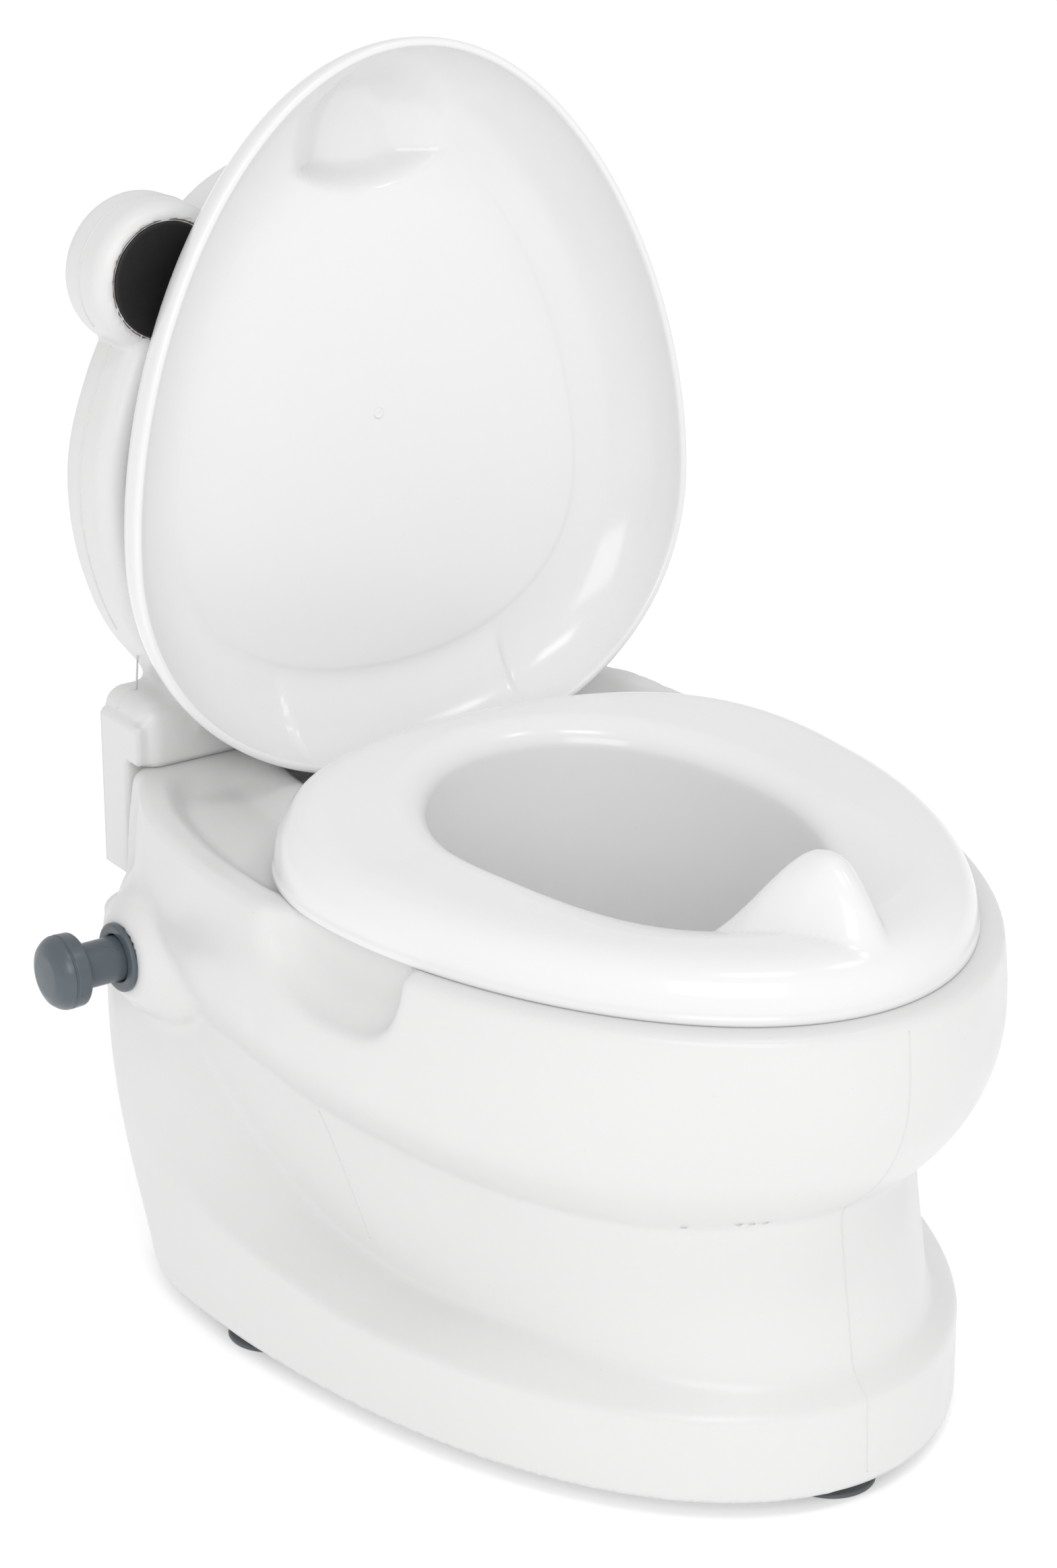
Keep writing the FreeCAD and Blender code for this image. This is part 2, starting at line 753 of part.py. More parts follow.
half_door_wide = (size("unit_left") - size("unit_right")) / 2
half_door_tall = (size("unit_top") - size("unit_bottom")) / 2
door_centre = Vector(-(size("unit_left") + size("unit_right")) / 2, size("unit_rear") + 3.2,
                     (size("unit_top") + size("unit_bottom")) / 2)
sheet.set(f"B{len(DRIVING) + 1}", str(half_door_wide))
sheet.setAlias(f"B{len(DRIVING) + 1}", "door_half_width")
sheet.set(f"B{len(DRIVING) + 2}", str(half_door_tall))
sheet.setAlias(f"B{len(DRIVING) + 2}", "door_half_height")
doc.recompute()
padded_part("battery_door", rectangle("door_half_width", "door_half_height"), "3",
            Placement(door_centre, Rotation(Vector(1, 0, 0), 90)),
            holes=[("-door_half_width+5", "door_half_height-6.5", "1.5")])
screws("battery_door_screw",
       [(-size("unit_left") + 5.0, door_centre.y, size("unit_top") - 6.5)],
       REARWARD, length=11, radius=1.15, head_radius=2.6, head_height=1.4)

battery_y = (size("unit_front") + size("unit_rear")) / 2 + 1


def make_batteries():
    """Two small round cells, side by side along Y, with their end buttons."""
    cells = []
    radius = size("battery_radius")
    half = size("battery_length") / 2
    middle = -(size("unit_left") + size("unit_right")) / 2
    for side in (-1, 1):
        x = middle + side * (radius + 0.8)
        z = size("unit_bottom") + size("unit_wall") + radius + 1.0
        cell = rod(radius, (x, battery_y - half, z), (x, battery_y + half - 1, z))
        button = rod(1.9, (x, battery_y + half - 1, z), (x, battery_y + half, z))
        piece = cell.fuse(button)
        if side > 0:
            piece.rotate(Vector(x, battery_y, z), Vector(0, 0, 1), 180)
        cells.append(piece.removeSplitter())
    return Part.makeCompound(cells)


feature("batteries", make_batteries())


def make_contacts():
    """The four sprung plates at the ends of the cells."""
    plates = []
    radius = size("battery_radius")
    half = size("battery_length") / 2
    middle = -(size("unit_left") + size("unit_right")) / 2
    z = size("unit_bottom") + size("unit_wall") + radius + 1.0
    for end in (-1, 1):
        for side in (-1, 1):
            x = middle + side * (radius + 0.8)
            y = battery_y + end * (half + 0.7)
            plate = box((x - 4, min(y, y + end * 0.5), z - 4), (x + 4, max(y, y + end * 0.5), z + 4))
            bump = Part.makeCone(2.0, 1.0, 0.6, Vector(x, y, z), Vector(0, -end, 0))
            plates.append(plate.fuse(bump).removeSplitter())
    return Part.makeCompound(plates)


feature("battery_contacts", make_contacts())

board_x = -size("unit_right") - size("unit_wall") - 12
middle_z = size("unit_bottom") + 39
feature("circuit_board", box((board_x, 128, middle_z - 11), (board_x + 1.6, 172, middle_z + 11)))


switch_face = board_x - 8
plunger_radius = 1.8
pressed_tip = -size("unit_left") + 7.8 + size("knob_travel")


def make_switch():
    """The switch's body on the board, with the hole that its plunger slides in."""
    case = box((switch_face, knob_axis.y - 5, knob_axis.z - 4), (board_x, knob_axis.y + 5, knob_axis.z + 4))
    hole = rod(plunger_radius + 0.06, (switch_face - 1, knob_axis.y, knob_axis.z),
               (switch_face + 4.2, knob_axis.y, knob_axis.z))
    return case.cut(hole)


feature("push_switch", make_switch())
feature("switch_plunger", rod(
    plunger_radius,
    (pressed_tip - size("plunger_travel"), knob_axis.y, knob_axis.z),
    (switch_face + 2.4, knob_axis.y, knob_axis.z),
))

speaker_x = -size("unit_right") - size("unit_wall") - 0.1
turned_part("speaker", [
    ("0", "0"), ("10", "0"), ("10", "2.2"), ("6.5", "2.6"), ("6.5", "6"), ("0", "6"),
], Placement(Vector(speaker_x, 142, size("unit_bottom") + 39), OUTWARD))

# --------------------------------------------------------------- suction feet

FOOT = [("0", "3.2"), ("foot_radius-6", "0.8"), ("foot_radius-3", "0"), ("foot_radius-0.6", "0"),
        ("foot_radius", "0.8"),
        ("foot_radius-2", "2.2"), ("foot_neck_radius+2", "4.2"), ("foot_neck_radius", "foot_gap-0.3"),
        ("foot_neck_radius-3", "foot_gap-0.3"), ("foot_neck_radius-3", "foot_gap+3.4"),
        ("foot_neck_radius-1.6", "foot_gap+3.4"), ("foot_neck_radius-3", "foot_gap+7"),
        ("0", "foot_gap+7")]
for word, (x, y) in zip(("front", "left", "right", "rear"), foot_places()):
    turned_part("suction_foot_" + word, FOOT, Placement(Vector(x, y, 0), Rotation()))

# ------------------------------------------------------------- check and write

frame_shift = Placement(Vector(size("frame_shift_x"), size("frame_shift_y"), 0), Rotation())
for item in finished:
    item.Placement = frame_shift.multiply(item.Placement)
doc.recompute()
for item in doc.Objects:
    if "Invalid" in item.State or "Error" in item.State:
        raise RuntimeError(item.Label + " failed: " + str(item.State))

os.makedirs("parts", exist_ok=True)
for item in finished:
    shape = item.Shape
    if shape.isNull() or not shape.isValid():
        raise RuntimeError(item.Label + " has no valid shape")
    limits = shape.BoundBox
    print(item.Label, len(shape.Solids), round(shape.Volume / 1000, 2), "cm3",
          [round(v, 1) for v in (limits.XMin, limits.XMax, limits.YMin, limits.YMax, limits.ZMin, limits.ZMax)])
    shape.exportStep("parts/" + item.Label + ".step")
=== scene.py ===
"""Looks of the potty training chair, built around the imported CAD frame."""
import json
import math

import bpy
import numpy as np
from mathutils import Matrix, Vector


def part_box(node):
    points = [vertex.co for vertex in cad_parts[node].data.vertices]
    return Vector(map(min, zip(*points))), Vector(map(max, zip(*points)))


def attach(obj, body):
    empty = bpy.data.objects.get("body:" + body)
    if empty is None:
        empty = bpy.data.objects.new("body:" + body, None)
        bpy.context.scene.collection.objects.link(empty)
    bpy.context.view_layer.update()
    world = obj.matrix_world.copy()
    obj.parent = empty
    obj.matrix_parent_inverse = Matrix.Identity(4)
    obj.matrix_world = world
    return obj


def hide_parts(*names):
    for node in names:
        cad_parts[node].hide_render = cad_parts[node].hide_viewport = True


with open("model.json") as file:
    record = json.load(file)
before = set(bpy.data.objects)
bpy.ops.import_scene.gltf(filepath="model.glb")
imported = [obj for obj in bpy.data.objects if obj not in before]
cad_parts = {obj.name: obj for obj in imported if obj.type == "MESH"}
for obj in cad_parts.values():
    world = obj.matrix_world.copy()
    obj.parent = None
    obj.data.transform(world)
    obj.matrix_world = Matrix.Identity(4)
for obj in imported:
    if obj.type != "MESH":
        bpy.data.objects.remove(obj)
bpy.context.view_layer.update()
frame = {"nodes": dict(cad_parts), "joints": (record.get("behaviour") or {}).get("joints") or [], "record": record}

# ------------------------------------------------------------------ measures
# Everything below is in millimetres in the chair's own frame: the symmetry plane
# is x = 0, the floor is z = 0, the front is -y and the flush knob is on -x.

SEAT = {
    "front": 161.8,
    "half": 125.0,
    "wide_at": 20.0,
    "rear": 120.6,
    "nose": (0.576, 0.451),
    "tail": (0.6, 0.6),
}
HINGE_Y = 124.6
HINGE_Z = 200.9
LID_OPEN = math.radians(92.5)
SIDES = ((-1, "left"), (1, "right"))

joints = {joint["name"]: joint for joint in frame["joints"]}
hinge_pos = joints["lid_hinge"]["pos_m"]
SHIFT = np.array(hinge_pos) * 1000 - np.array([0.0, HINGE_Y, HINGE_Z])


def node_box(name):
    """A CAD node's lowest and highest corner in chair millimetres."""
    low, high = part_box(name)
    return np.array(low) * 1000 - SHIFT, np.array(high) * 1000 - SHIFT


# ------------------------------------------------------------- field helpers


def blend_min(a, b, radius):
    """Union of two fields with a fillet."""
    near = np.clip(radius - np.abs(a - b), 0, None) / radius
    return np.minimum(a, b) - near * near * radius / 4


def blend_max(a, b, radius):
    """Intersection of two fields with a rounded edge."""
    return -blend_min(-a, -b, radius)


def ease(value, low, high):
    """Smooth step from 0 at low to 1 at high."""
    t = np.clip((value - low) / (high - low), 0, 1)
    return t * t * (3 - 2 * t)


def soft_box(x, y, z, low, high, radius):
    """Distance to a box with rounded edges."""
    half = (np.array(high, float) - np.array(low, float)) / 2
    mid = (np.array(high, float) + np.array(low, float)) / 2
    qx = np.abs(x - mid[0]) - half[0] + radius
    qy = np.abs(y - mid[1]) - half[1] + radius
    qz = np.abs(z - mid[2]) - half[2] + radius
    outside = np.sqrt(np.maximum(qx, 0) ** 2 + np.maximum(qy, 0) ** 2 + np.maximum(qz, 0) ** 2)
    return outside + np.minimum(np.maximum(np.maximum(qx, qy), qz), 0) - radius


class Ramp:
    """A smooth curve through a few places."""

    def __init__(self, places, values, softness):
        self.x = np.linspace(places[0], places[-1], 400)
        raw = np.interp(self.x, places, values)
        step = self.x[1] - self.x[0]
        reach = int(3 * softness / step)
        kernel = np.exp(-0.5 * (np.arange(-reach, reach + 1) * step / softness) ** 2)
        padded = np.pad(raw, reach, mode="edge")
        self.y = np.convolve(padded, kernel / kernel.sum(), mode="valid")

    def __call__(self, value):
        return np.interp(value, self.x, self.y)


def half_oval(front, half, wide_at, rear, nose=(0.58, 0.56), tail=(0.6, 0.6), count=400):
    """Right half of an egg outline, from its front to its rear."""
    def bezier(points):
        t = np.linspace(0, 1, count)[:, None]
        p = np.array(points, float)
        return (p[0] * (1 - t) ** 3 + p[1] * 3 * t * (1 - t) ** 2
                + p[2] * 3 * t * t * (1 - t) + p[3] * t ** 3)
    reach = front + wide_at
    depth = rear - wide_at
    fore = bezier([(0, -front), (nose[0] * half, -front), (half, wide_at - nose[1] * reach),
                   (half, wide_at)])
    aft = bezier([(half, wide_at), (half, wide_at + tail[0] * depth), (tail[1] * half, rear),
                  (0, rear)])
    return np.vstack([fore, aft[1:]])


class Outline:
    """An egg outline seen in polar form from a point on the symmetry plane."""

    def __init__(self, centre_y, *args, **kwargs):
        self.centre = centre_y
        points = half_oval(*args, **kwargs)
        angle = np.arctan2(points[:, 0], -(points[:, 1] - centre_y))
        radius = np.hypot(points[:, 0], points[:, 1] - centre_y)
        self.angle = np.linspace(0, math.pi, 721)
        self.radius = np.interp(self.angle, angle, radius)
        slope = np.gradient(self.radius, self.angle)
        self.lean = 1 / np.sqrt(1 + (slope / self.radius) ** 2)

    def at(self, angle):
        return np.interp(angle, self.angle, self.radius)

    def lean_at(self, angle):
        return np.interp(angle, self.angle, self.lean)


def seat_outline(offset, centre_y=5.0):
    return Outline(centre_y, SEAT["front"] + offset, SEAT["half"] + offset, SEAT["wide_at"],
                   SEAT["rear"] + offset, nose=SEAT["nose"], tail=SEAT["tail"])


# ----------------------------------------------------------- mesh generation


def surface_net(field, low, high, pitch):
    """Quads on the zero surface of a field that is negative inside."""
    axes = [np.arange(a - pitch, b + 2 * pitch, pitch) for a, b in zip(low, high)]
    shape = tuple(len(axis) for axis in axes)
    values = np.empty(shape, np.float32)
    y = axes[1][None, :, None]
    z = axes[2][None, None, :]
    slab = 16
    for start in range(0, shape[0], slab):
        x = axes[0][start:start + slab][:, None, None]
        values[start:start + slab] = field(x, y, z)
    inside = values < 0
    cells = tuple(n - 1 for n in shape)
    total = np.zeros(cells, np.int8)
    offsets = [(i, j, k) for i in (0, 1) for j in (0, 1) for k in (0, 1)]
    for i, j, k in offsets:
        total += inside[i:i + cells[0], j:j + cells[1], k:k + cells[2]]
    active = (total > 0) & (total < 8)
    index = np.full(cells, -1, np.int64)
    where = np.argwhere(active)
    index[active] = np.arange(len(where))
    sums = np.zeros((len(where), 3))
    hits = np.zeros(len(where))
    for a in offsets:
        for b in offsets:
            if sum(b) - sum(a) != 1 or any(q < p for p, q in zip(a, b)):
                continue
            va = values[tuple((where + a).T)]
            vb = values[tuple((where + b).T)]
            cross = (va < 0) != (vb < 0)
            span = np.where(cross, va - vb, 1)
            t = np.where(cross, va / span, 0)[:, None]
            sums += np.where(cross[:, None], np.array(a) + t * (np.array(b) - np.array(a)), 0)
            hits += cross
    origin = np.array([axis[0] for axis in axes])
    points = origin + pitch * (where + sums / hits[:, None])
    quads = []
    for axis in range(3):
        other = [n for n in range(3) if n != axis]
        ahead = [slice(None)] * 3
        behind = [slice(None)] * 3
        ahead[axis] = slice(1, None)
        behind[axis] = slice(None, -1)
        change = inside[tuple(ahead)] != inside[tuple(behind)]
        corner = np.argwhere(change)
        keep = np.ones(len(corner), bool)
        for n in other:
            keep &= (corner[:, n] > 0) & (corner[:, n] < shape[n] - 1)
        corner = corner[keep]
        ring = []
        for first, second in ((-1, -1), (0, -1), (0, 0), (-1, 0)):
            step = np.zeros(3, int)
            step[other[0]] = first
            step[other[1]] = second
            ring.append(index[tuple((corner + step).T)])
        quad = np.stack(ring, axis=1)
        flip = inside[tuple(corner.T)] ^ (axis == 1)
        quad[~flip] = quad[~flip][:, ::-1]
        quads.append(quad)
    return points, np.vstack(quads)


def settle(field, points, rounds, limit):
    """Moves points onto the zero surface along the field's gradient."""
    small = 0.06
    for _ in range(rounds):
        x, y, z = points.T
        value = field(x, y, z)
        slope = np.stack([
            field(x + small, y, z) - field(x - small, y, z),
            field(x, y + small, z) - field(x, y - small, z),
            field(x, y, z + small) - field(x, y, z - small),
        ], axis=1) / (2 * small)
        steepness = np.maximum((slope ** 2).sum(1), 0.04)
        move = -(value / steepness)[:, None] * slope
        length = np.linalg.norm(move, axis=1)[:, None]
        points = points + move * np.minimum(1, limit / np.maximum(length, 1e-9))
    return points


def relax(points, quads, rounds):
    """Evens out the spacing of a quad mesh."""
    for _ in range(rounds):
        total = np.zeros_like(points)
        count = np.zeros(len(points))
        for a, b in ((0, 1), (1, 2), (2, 3), (3, 0)):
            np.add.at(total, quads[:, a], points[quads[:, b]])
            np.add.at(count, quads[:, a], 1)
        points = points + 0.5 * (total / np.maximum(count, 1)[:, None] - points)
    return points


def skin(field, low, high, pitch):
    """A smooth mesh of a field."""
    points, quads = surface_net(field, low, high, pitch)
    points = settle(field, points, 2, pitch / 2)
    points = relax(points, quads, 1)
    return settle(field, points, 3, pitch / 2), quads


def volume(points, faces):
    """Six times the signed volume of a closed mesh."""
    total = 0.0
    for face in (faces[:, [0, 1, 2]], faces[:, [0, 2, 3]]):
        a, b, c = (points[face[:, n]] for n in range(3))
        total += np.einsum("ij,ij->i", a, np.cross(b, c)).sum()
    return total


def make_piece(name, points, faces, body, material, replaced=()):
    """A Blender object from chair-frame points, riding on a body."""
    faces = np.asarray(faces)
    if volume(points, faces) < 0:
        faces = faces[:, ::-1]
    mesh = bpy.data.meshes.new(name)
    rows = [tuple(dict.fromkeys(face)) for face in faces.tolist()]
    rows = [row for row in rows if len(row) > 2]
    mesh.from_pydata(((points + SHIFT) / 1000).tolist(), [], rows)
    mesh.validate()
    mesh.polygons.foreach_set("use_smooth", [True] * len(mesh.polygons))
    piece = bpy.data.objects.new(name, mesh)
    bpy.context.scene.collection.objects.link(piece)
    mesh.materials.append(material)
    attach(piece, body)
    if replaced:
        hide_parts(*replaced)
    return piece


def ring_mesh(rings, close_first=True, close_last=True):
    """Points and faces of stacked closed rings, with the ends drawn to a point."""
    count = len(rings[0])
    rings = [np.asarray(ring, float) for ring in rings]
    points = np.vstack(rings)
    faces = []
    here = np.arange(count)
    after = (here + 1) % count
    for level in range(len(rings) - 1):
        base = level * count
        faces.append(np.stack([base + here, base + after, base + count + after,
                               base + count + here], axis=1))
    extra = []
    if close_first:
        extra.append(rings[0].mean(0))
        tip = np.full(count, len(points))
        faces.append(np.stack([tip, after, here, tip], axis=1))
    if close_last:
        tip = np.full(count, len(points) + len(extra))
        extra.append(rings[-1].mean(0))
        base = (len(rings) - 1) * count
        faces.append(np.stack([tip, base + here, base + after, tip], axis=1))
    if extra:
        points = np.vstack([points, np.array(extra)])
    return points, np.vstack(faces)


def lathe(profile, origin, axis, count=96):
    """Rings around an axis from (along, radius) pairs."""
    axis = np.array(axis, float)
    side = np.array([0.0, 0.0, 1.0]) if abs(axis[2]) < 0.5 else np.array([1.0, 0.0, 0.0])
    other = np.cross(axis, side)
    angle = np.linspace(0, 2 * math.pi, count, endpoint=False)
    rings = []
    for along, radius in profile:
        rings.append(np.array(origin) + axis * along
                     + radius * (np.cos(angle)[:, None] * side + np.sin(angle)[:, None] * other))
    return rings


def rounded(profile, radius, steps=5):
    """A profile with each corner turned into a small arc."""
    out = [profile[0]]
    for before, here, after in zip(profile, profile[1:], profile[2:]):
        a = np.array(before, float) - here
        b = np.array(after, float) - here
        la = np.linalg.norm(a)
        lb = np.linalg.norm(b)
        cut = min(radius, 0.45 * la, 0.45 * lb)
        start = here + a / la * cut
        end = here + b / lb * cut
        for t in np.linspace(0, 1, steps):
            arc = (1 - t) ** 2 * start + 2 * t * (1 - t) * np.array(here, float) + t * t * end
            out.append(tuple(arc))
    out.append(profile[-1])
    return out


def tube(path, radius, sides=8, closed=False):
    """A thin bead along a path of chair-frame points."""
    path = np.asarray(path, float)
    if closed:
        ahead = np.roll(path, -1, axis=0) - np.roll(path, 1, axis=0)
    else:
        ahead = np.gradient(path, axis=0)
    ahead /= np.linalg.norm(ahead, axis=1)[:, None]
    guide = np.array([0.31, 0.17, 0.93])
    first = np.cross(ahead, guide)
    first /= np.linalg.norm(first, axis=1)[:, None]
    second = np.cross(ahead, first)
    rings = []
    for point, a, b in zip(path, first, second):
        angle = np.linspace(0, 2 * math.pi, sides, endpoint=False)
        rings.append(point + radius * (np.cos(angle)[:, None] * a + np.sin(angle)[:, None] * b))
    if closed:
        rings.append(rings[0])
    return ring_mesh(rings, not closed, not closed)


# ----------------------------------------------------------------- materials

MIX_A = 6
MIX_B = 7
MIX_RESULT = 2


def moulded(name, colour, roughness, spread=0.03, peel=0.02, speck=0.02):
    """Moulded plastic: slight colour drift, uneven gloss, fine orange peel and specks."""
    material = bpy.data.materials.new(name)
    material.use_nodes = True
    tree = material.node_tree
    shader = tree.nodes["Principled BSDF"]
    place = tree.nodes.new("ShaderNodeTexCoord")

    def noise(scale, detail, rough=0.5):
        node = tree.nodes.new("ShaderNodeTexNoise")
        node.inputs["Scale"].default_value = scale
        node.inputs["Detail"].default_value = detail
        node.inputs["Roughness"].default_value = rough
        tree.links.new(place.outputs["Object"], node.inputs["Vector"])
        return node.outputs["Fac"]

    def ranged(source, low, high, start=0.3, end=0.7):
        node = tree.nodes.new("ShaderNodeMapRange")
        node.inputs["From Min"].default_value = start
        node.inputs["From Max"].default_value = end
        node.inputs["To Min"].default_value = low
        node.inputs["To Max"].default_value = high
        tree.links.new(source, node.inputs["Value"])
        return node.outputs["Result"]

    drift = tree.nodes.new("ShaderNodeMix")
    drift.data_type = "RGBA"
    drift.inputs[MIX_A].default_value = (*[c * (1 - spread) for c in colour], 1)
    drift.inputs[MIX_B].default_value = (*[min(1, c * (1 + spread)) for c in colour], 1)
    tree.links.new(noise(14, 3), drift.inputs[0])
    specks = tree.nodes.new("ShaderNodeMix")
    specks.data_type = "RGBA"
    specks.blend_type = "MULTIPLY"
    tree.links.new(drift.outputs[MIX_RESULT], specks.inputs[MIX_A])
    specks.inputs[MIX_B].default_value = (1 - speck * 6, 1 - speck * 6, 1 - speck * 5.5, 1)
    tree.links.new(ranged(noise(420, 2, 0.7), 0, 1, 0.72, 0.78), specks.inputs[0])
    tree.links.new(specks.outputs[MIX_RESULT], shader.inputs["Base Color"])
    gloss = ranged(noise(60, 4), roughness * 0.85, roughness * 1.15)
    tree.links.new(gloss, shader.inputs["Roughness"])
    shader.inputs["IOR"].default_value = 1.5
    bump = tree.nodes.new("ShaderNodeBump")
    bump.inputs["Strength"].default_value = peel
    bump.inputs["Distance"].default_value = 0.0004
    tree.links.new(noise(650, 3, 0.6), bump.inputs["Height"])
    tree.links.new(bump.outputs["Normal"], shader.inputs["Normal"])
    return material


def metal(name, colour, roughness):
    """Bright plated metal with an uneven sheen."""
    material = moulded(name, colour, roughness, spread=0.06, peel=0.06, speck=0.01)
    material.node_tree.nodes["Principled BSDF"].inputs["Metallic"].default_value = 1.0
    return material


WHITE_SATIN = (0.71, 0.71, 0.706)
WHITE_GLOSS = (0.79, 0.79, 0.79)
# the parting-line beads are a little darker than the body white: painted shade of their fine step
SEAM_PAINTED_SHADE = (0.68, 0.68, 0.675)
SLATE = (0.085, 0.105, 0.122)
RUBBER = (0.10, 0.112, 0.12)
BLACK = (0.004, 0.0038, 0.0038)

white_satin = moulded("white_satin_plastic", WHITE_SATIN, 0.33, spread=0.012, peel=0.10, speck=0.012)
white_gloss = moulded("white_gloss_plastic", WHITE_GLOSS, 0.17, spread=0.012, peel=0.03, speck=0.008)
# material of the parting-line beads, darkened slightly as painted shade along the step
seam_painted_shade = moulded("seam_painted_shade_plastic", SEAM_PAINTED_SHADE, 0.36, spread=0.03, peel=0.1)
slate = moulded("slate_plastic", SLATE, 0.30, spread=0.07, peel=0.09, speck=0.03)
slate_rubber = moulded("slate_rubber", RUBBER, 0.5, spread=0.08, peel=0.2, speck=0.03)
black_disc = moulded("black_matte_disc", BLACK, 0.45, spread=0.2, peel=0.15, speck=0.03)
rim_line = moulded("disc_rim_print", (0.16, 0.12, 0.115), 0.5, spread=0.15, peel=0.1)
steel = metal("zinc_plated_steel", (0.62, 0.61, 0.58), 0.28)
cell_jacket = moulded("cell_jacket", (0.05, 0.14, 0.32), 0.25, spread=0.2, peel=0.03)
board_green = moulded("board_green", (0.01, 0.12, 0.05), 0.3, spread=0.25, peel=0.3, speck=0.08)

SLOT_LOOKS = {
    "white_satin": white_satin,
    "white_gloss": white_gloss,
    "slate_plastic": slate,
    "slate_rubber": slate_rubber,
    "black_matte": black_disc,
    "steel": steel,
    "cell_jacket": cell_jacket,
    "board_green": board_green,
}
for part in frame["record"]["subparts"]:
    node = frame["nodes"][part["node"]]
    if not node.material_slots:
        node.data.materials.append(None)
    for place in node.material_slots:
        place.material = SLOT_LOOKS[part["material_slot"]]

# ------------------------------------------------------------- parting lines


def trace(field, start, direction, reach, steps=26):
    """First place along rays from outside where a field turns negative."""
    near = np.zeros(len(start))
    done = np.zeros(len(start), bool)
    spans = np.linspace(0, reach, 140)
    for span in spans[1:]:
        value = field(*(start + direction * span).T)
        hit = (value < 0) & ~done
        near[hit] = span - spans[1]
        done |= hit
    far = near + spans[1]
    for _ in range(steps):
        mid = (near + far) / 2
        value = field(*(start + direction * mid[:, None]).T)
        far = np.where(value < 0, mid, far)
        near = np.where(value < 0, near, mid)
    return start + direction * far[:, None], done


def bead(name, path, radius=0.4, closed=False, material=seam_painted_shade):
    """A fine raised line along a path, on the body."""
    points, faces = tube(path, radius, closed=closed)
    return make_piece(name, points, faces, "body", material)


def seam(name, field, starts, direction, reach, radius=0.4):
    """A fine raised parting line laid on a surface, a little sunk in."""
    directions = np.tile(np.asarray(direction, float), (len(starts), 1))
    hit, done = trace(field, starts, directions, reach)
    return bead(name, (hit + directions * radius * 0.3)[done], radius)


# ---------------------------------------------------------------------- body

BODY_PITCH = 2.15
AXIS_Y = 20.0
FOOT_GAP = 6.5
TAPER_HEIGHT = 108.0
SHOULDER_START = 153.5
SHOULDER_END = 159.5
WAIST_BASE = 48.0
WAIST_HEIGHT = 66.0
WIDEST_Z = 172.0
RIM_Z = 200.0
CREASE_ROUNDING = 8.0
PLINTH_LOW = Outline(AXIS_Y, 158.7, 136.3, 104, 187, nose=(0.56, 0.60), tail=(0.72, 0.72))
PLINTH_HIGH = Outline(AXIS_Y, 156.0, 135.5, 125, 188, nose=(0.62, 0.62), tail=(1.02, 1.02))
SHOULDER = Outline(AXIS_Y, 152.0, 133.5, 125, 187.5, nose=(0.56, 0.60), tail=(0.84, 0.84))
WAIST_LOW = Outline(AXIS_Y, 148.6, 112, 165, 180, nose=(0.72, 0.66), tail=(0.95, 0.95))
WAIST_HIGH = Outline(AXIS_Y, 137.0, 121, 165, 184, nose=(0.68, 0.55), tail=(0.95, 0.95))
BULGE = Outline(AXIS_Y, 174.3, 137, 25, 188, nose=(0.576, 0.47), tail=(0.96, 0.96))
RIM = Outline(AXIS_Y, 172.0, 134.5, 25, 187.5, nose=(0.576, 0.47), tail=(0.96, 0.96))
WELL = seat_outline(-14.0)
WELL_FLOOR = 84.0

# lines along the body, from front to rear: the plinth's ledge and its slope, the
# crease under the bulge, and the top of the rim and deck
ledge_line = Ramp([-200, 0, 40, 96, 125, 137, 146, 153, 160, 170, 200],
                  [41.5, 41.5, 46.5, 52, 60, 68, 80, 98, 128, 200, 260], 4)
ledge_slope = Ramp([-200, -70, -20, 30, 55, 85, 100, 121, 140, 200],
                   [1.1, 0.9, 0.6, 0.6, 0.8, 1.6, 2.4, 3.8, 6, 9], 7)
crease_line = Ramp([-200, -138, -110, -60, -20, 40, 119, 140, 160, 200],
                   [113.5, 113.0, 109.5, 110, 112, 115.5, 127, 152, 162, 162], 5)
deck_line = Ramp([-200, 30, 95, 140, 158, 165, 210],
                 [200.2, 200.1, 200.3, 204, 207.4, 208.3, 208.3], 4)

KNOB_Y = 139.5
KNOB_Z = 146.0
KNOB_END = -node_box("flush_knob")[0][0]
COLLAR_FACE = -node_box("knob_collar")[0][0]
BOSS_FACE = COLLAR_FACE - 2.5
BOSS_RADIUS = 24.0
BOSS_BASE = 133.0
WEDGE_LENGTH = 40.0
BORE_RADIUS = 11.7
SCOOP_Y = -2.0
SCOOP_Z = 202.0
BAY_GAP = 0.9
DOOR_GAP = 0.7
BEHIND = 240.0
RECESS_LOW = (-57.5, 119.2, 189)
RECESS_HIGH = (57.5, 166.5, 260)


def lower_form(y, z, angle, radius):
    """The plinth with its shoulder, alone and cut by its ledge."""
    lift = 1 - (1 - np.clip((z - FOOT_GAP) / TAPER_HEIGHT, 0, 1)) ** 2
    reach = PLINTH_LOW.at(angle) * (1 - lift) + PLINTH_HIGH.at(angle) * lift
    hook = ease(z, SHOULDER_START, SHOULDER_END)
    reach = reach * (1 - hook) + SHOULDER.at(angle) * hook
    plinth = (radius - reach) * PLINTH_HIGH.lean_at(angle)
    slope = ledge_slope(y)
    ledge = (z - ledge_line(y) + slope * np.minimum(plinth, 0)) / np.sqrt(1 + slope ** 2)
    return plinth, blend_max(plinth, ledge, 1.6)


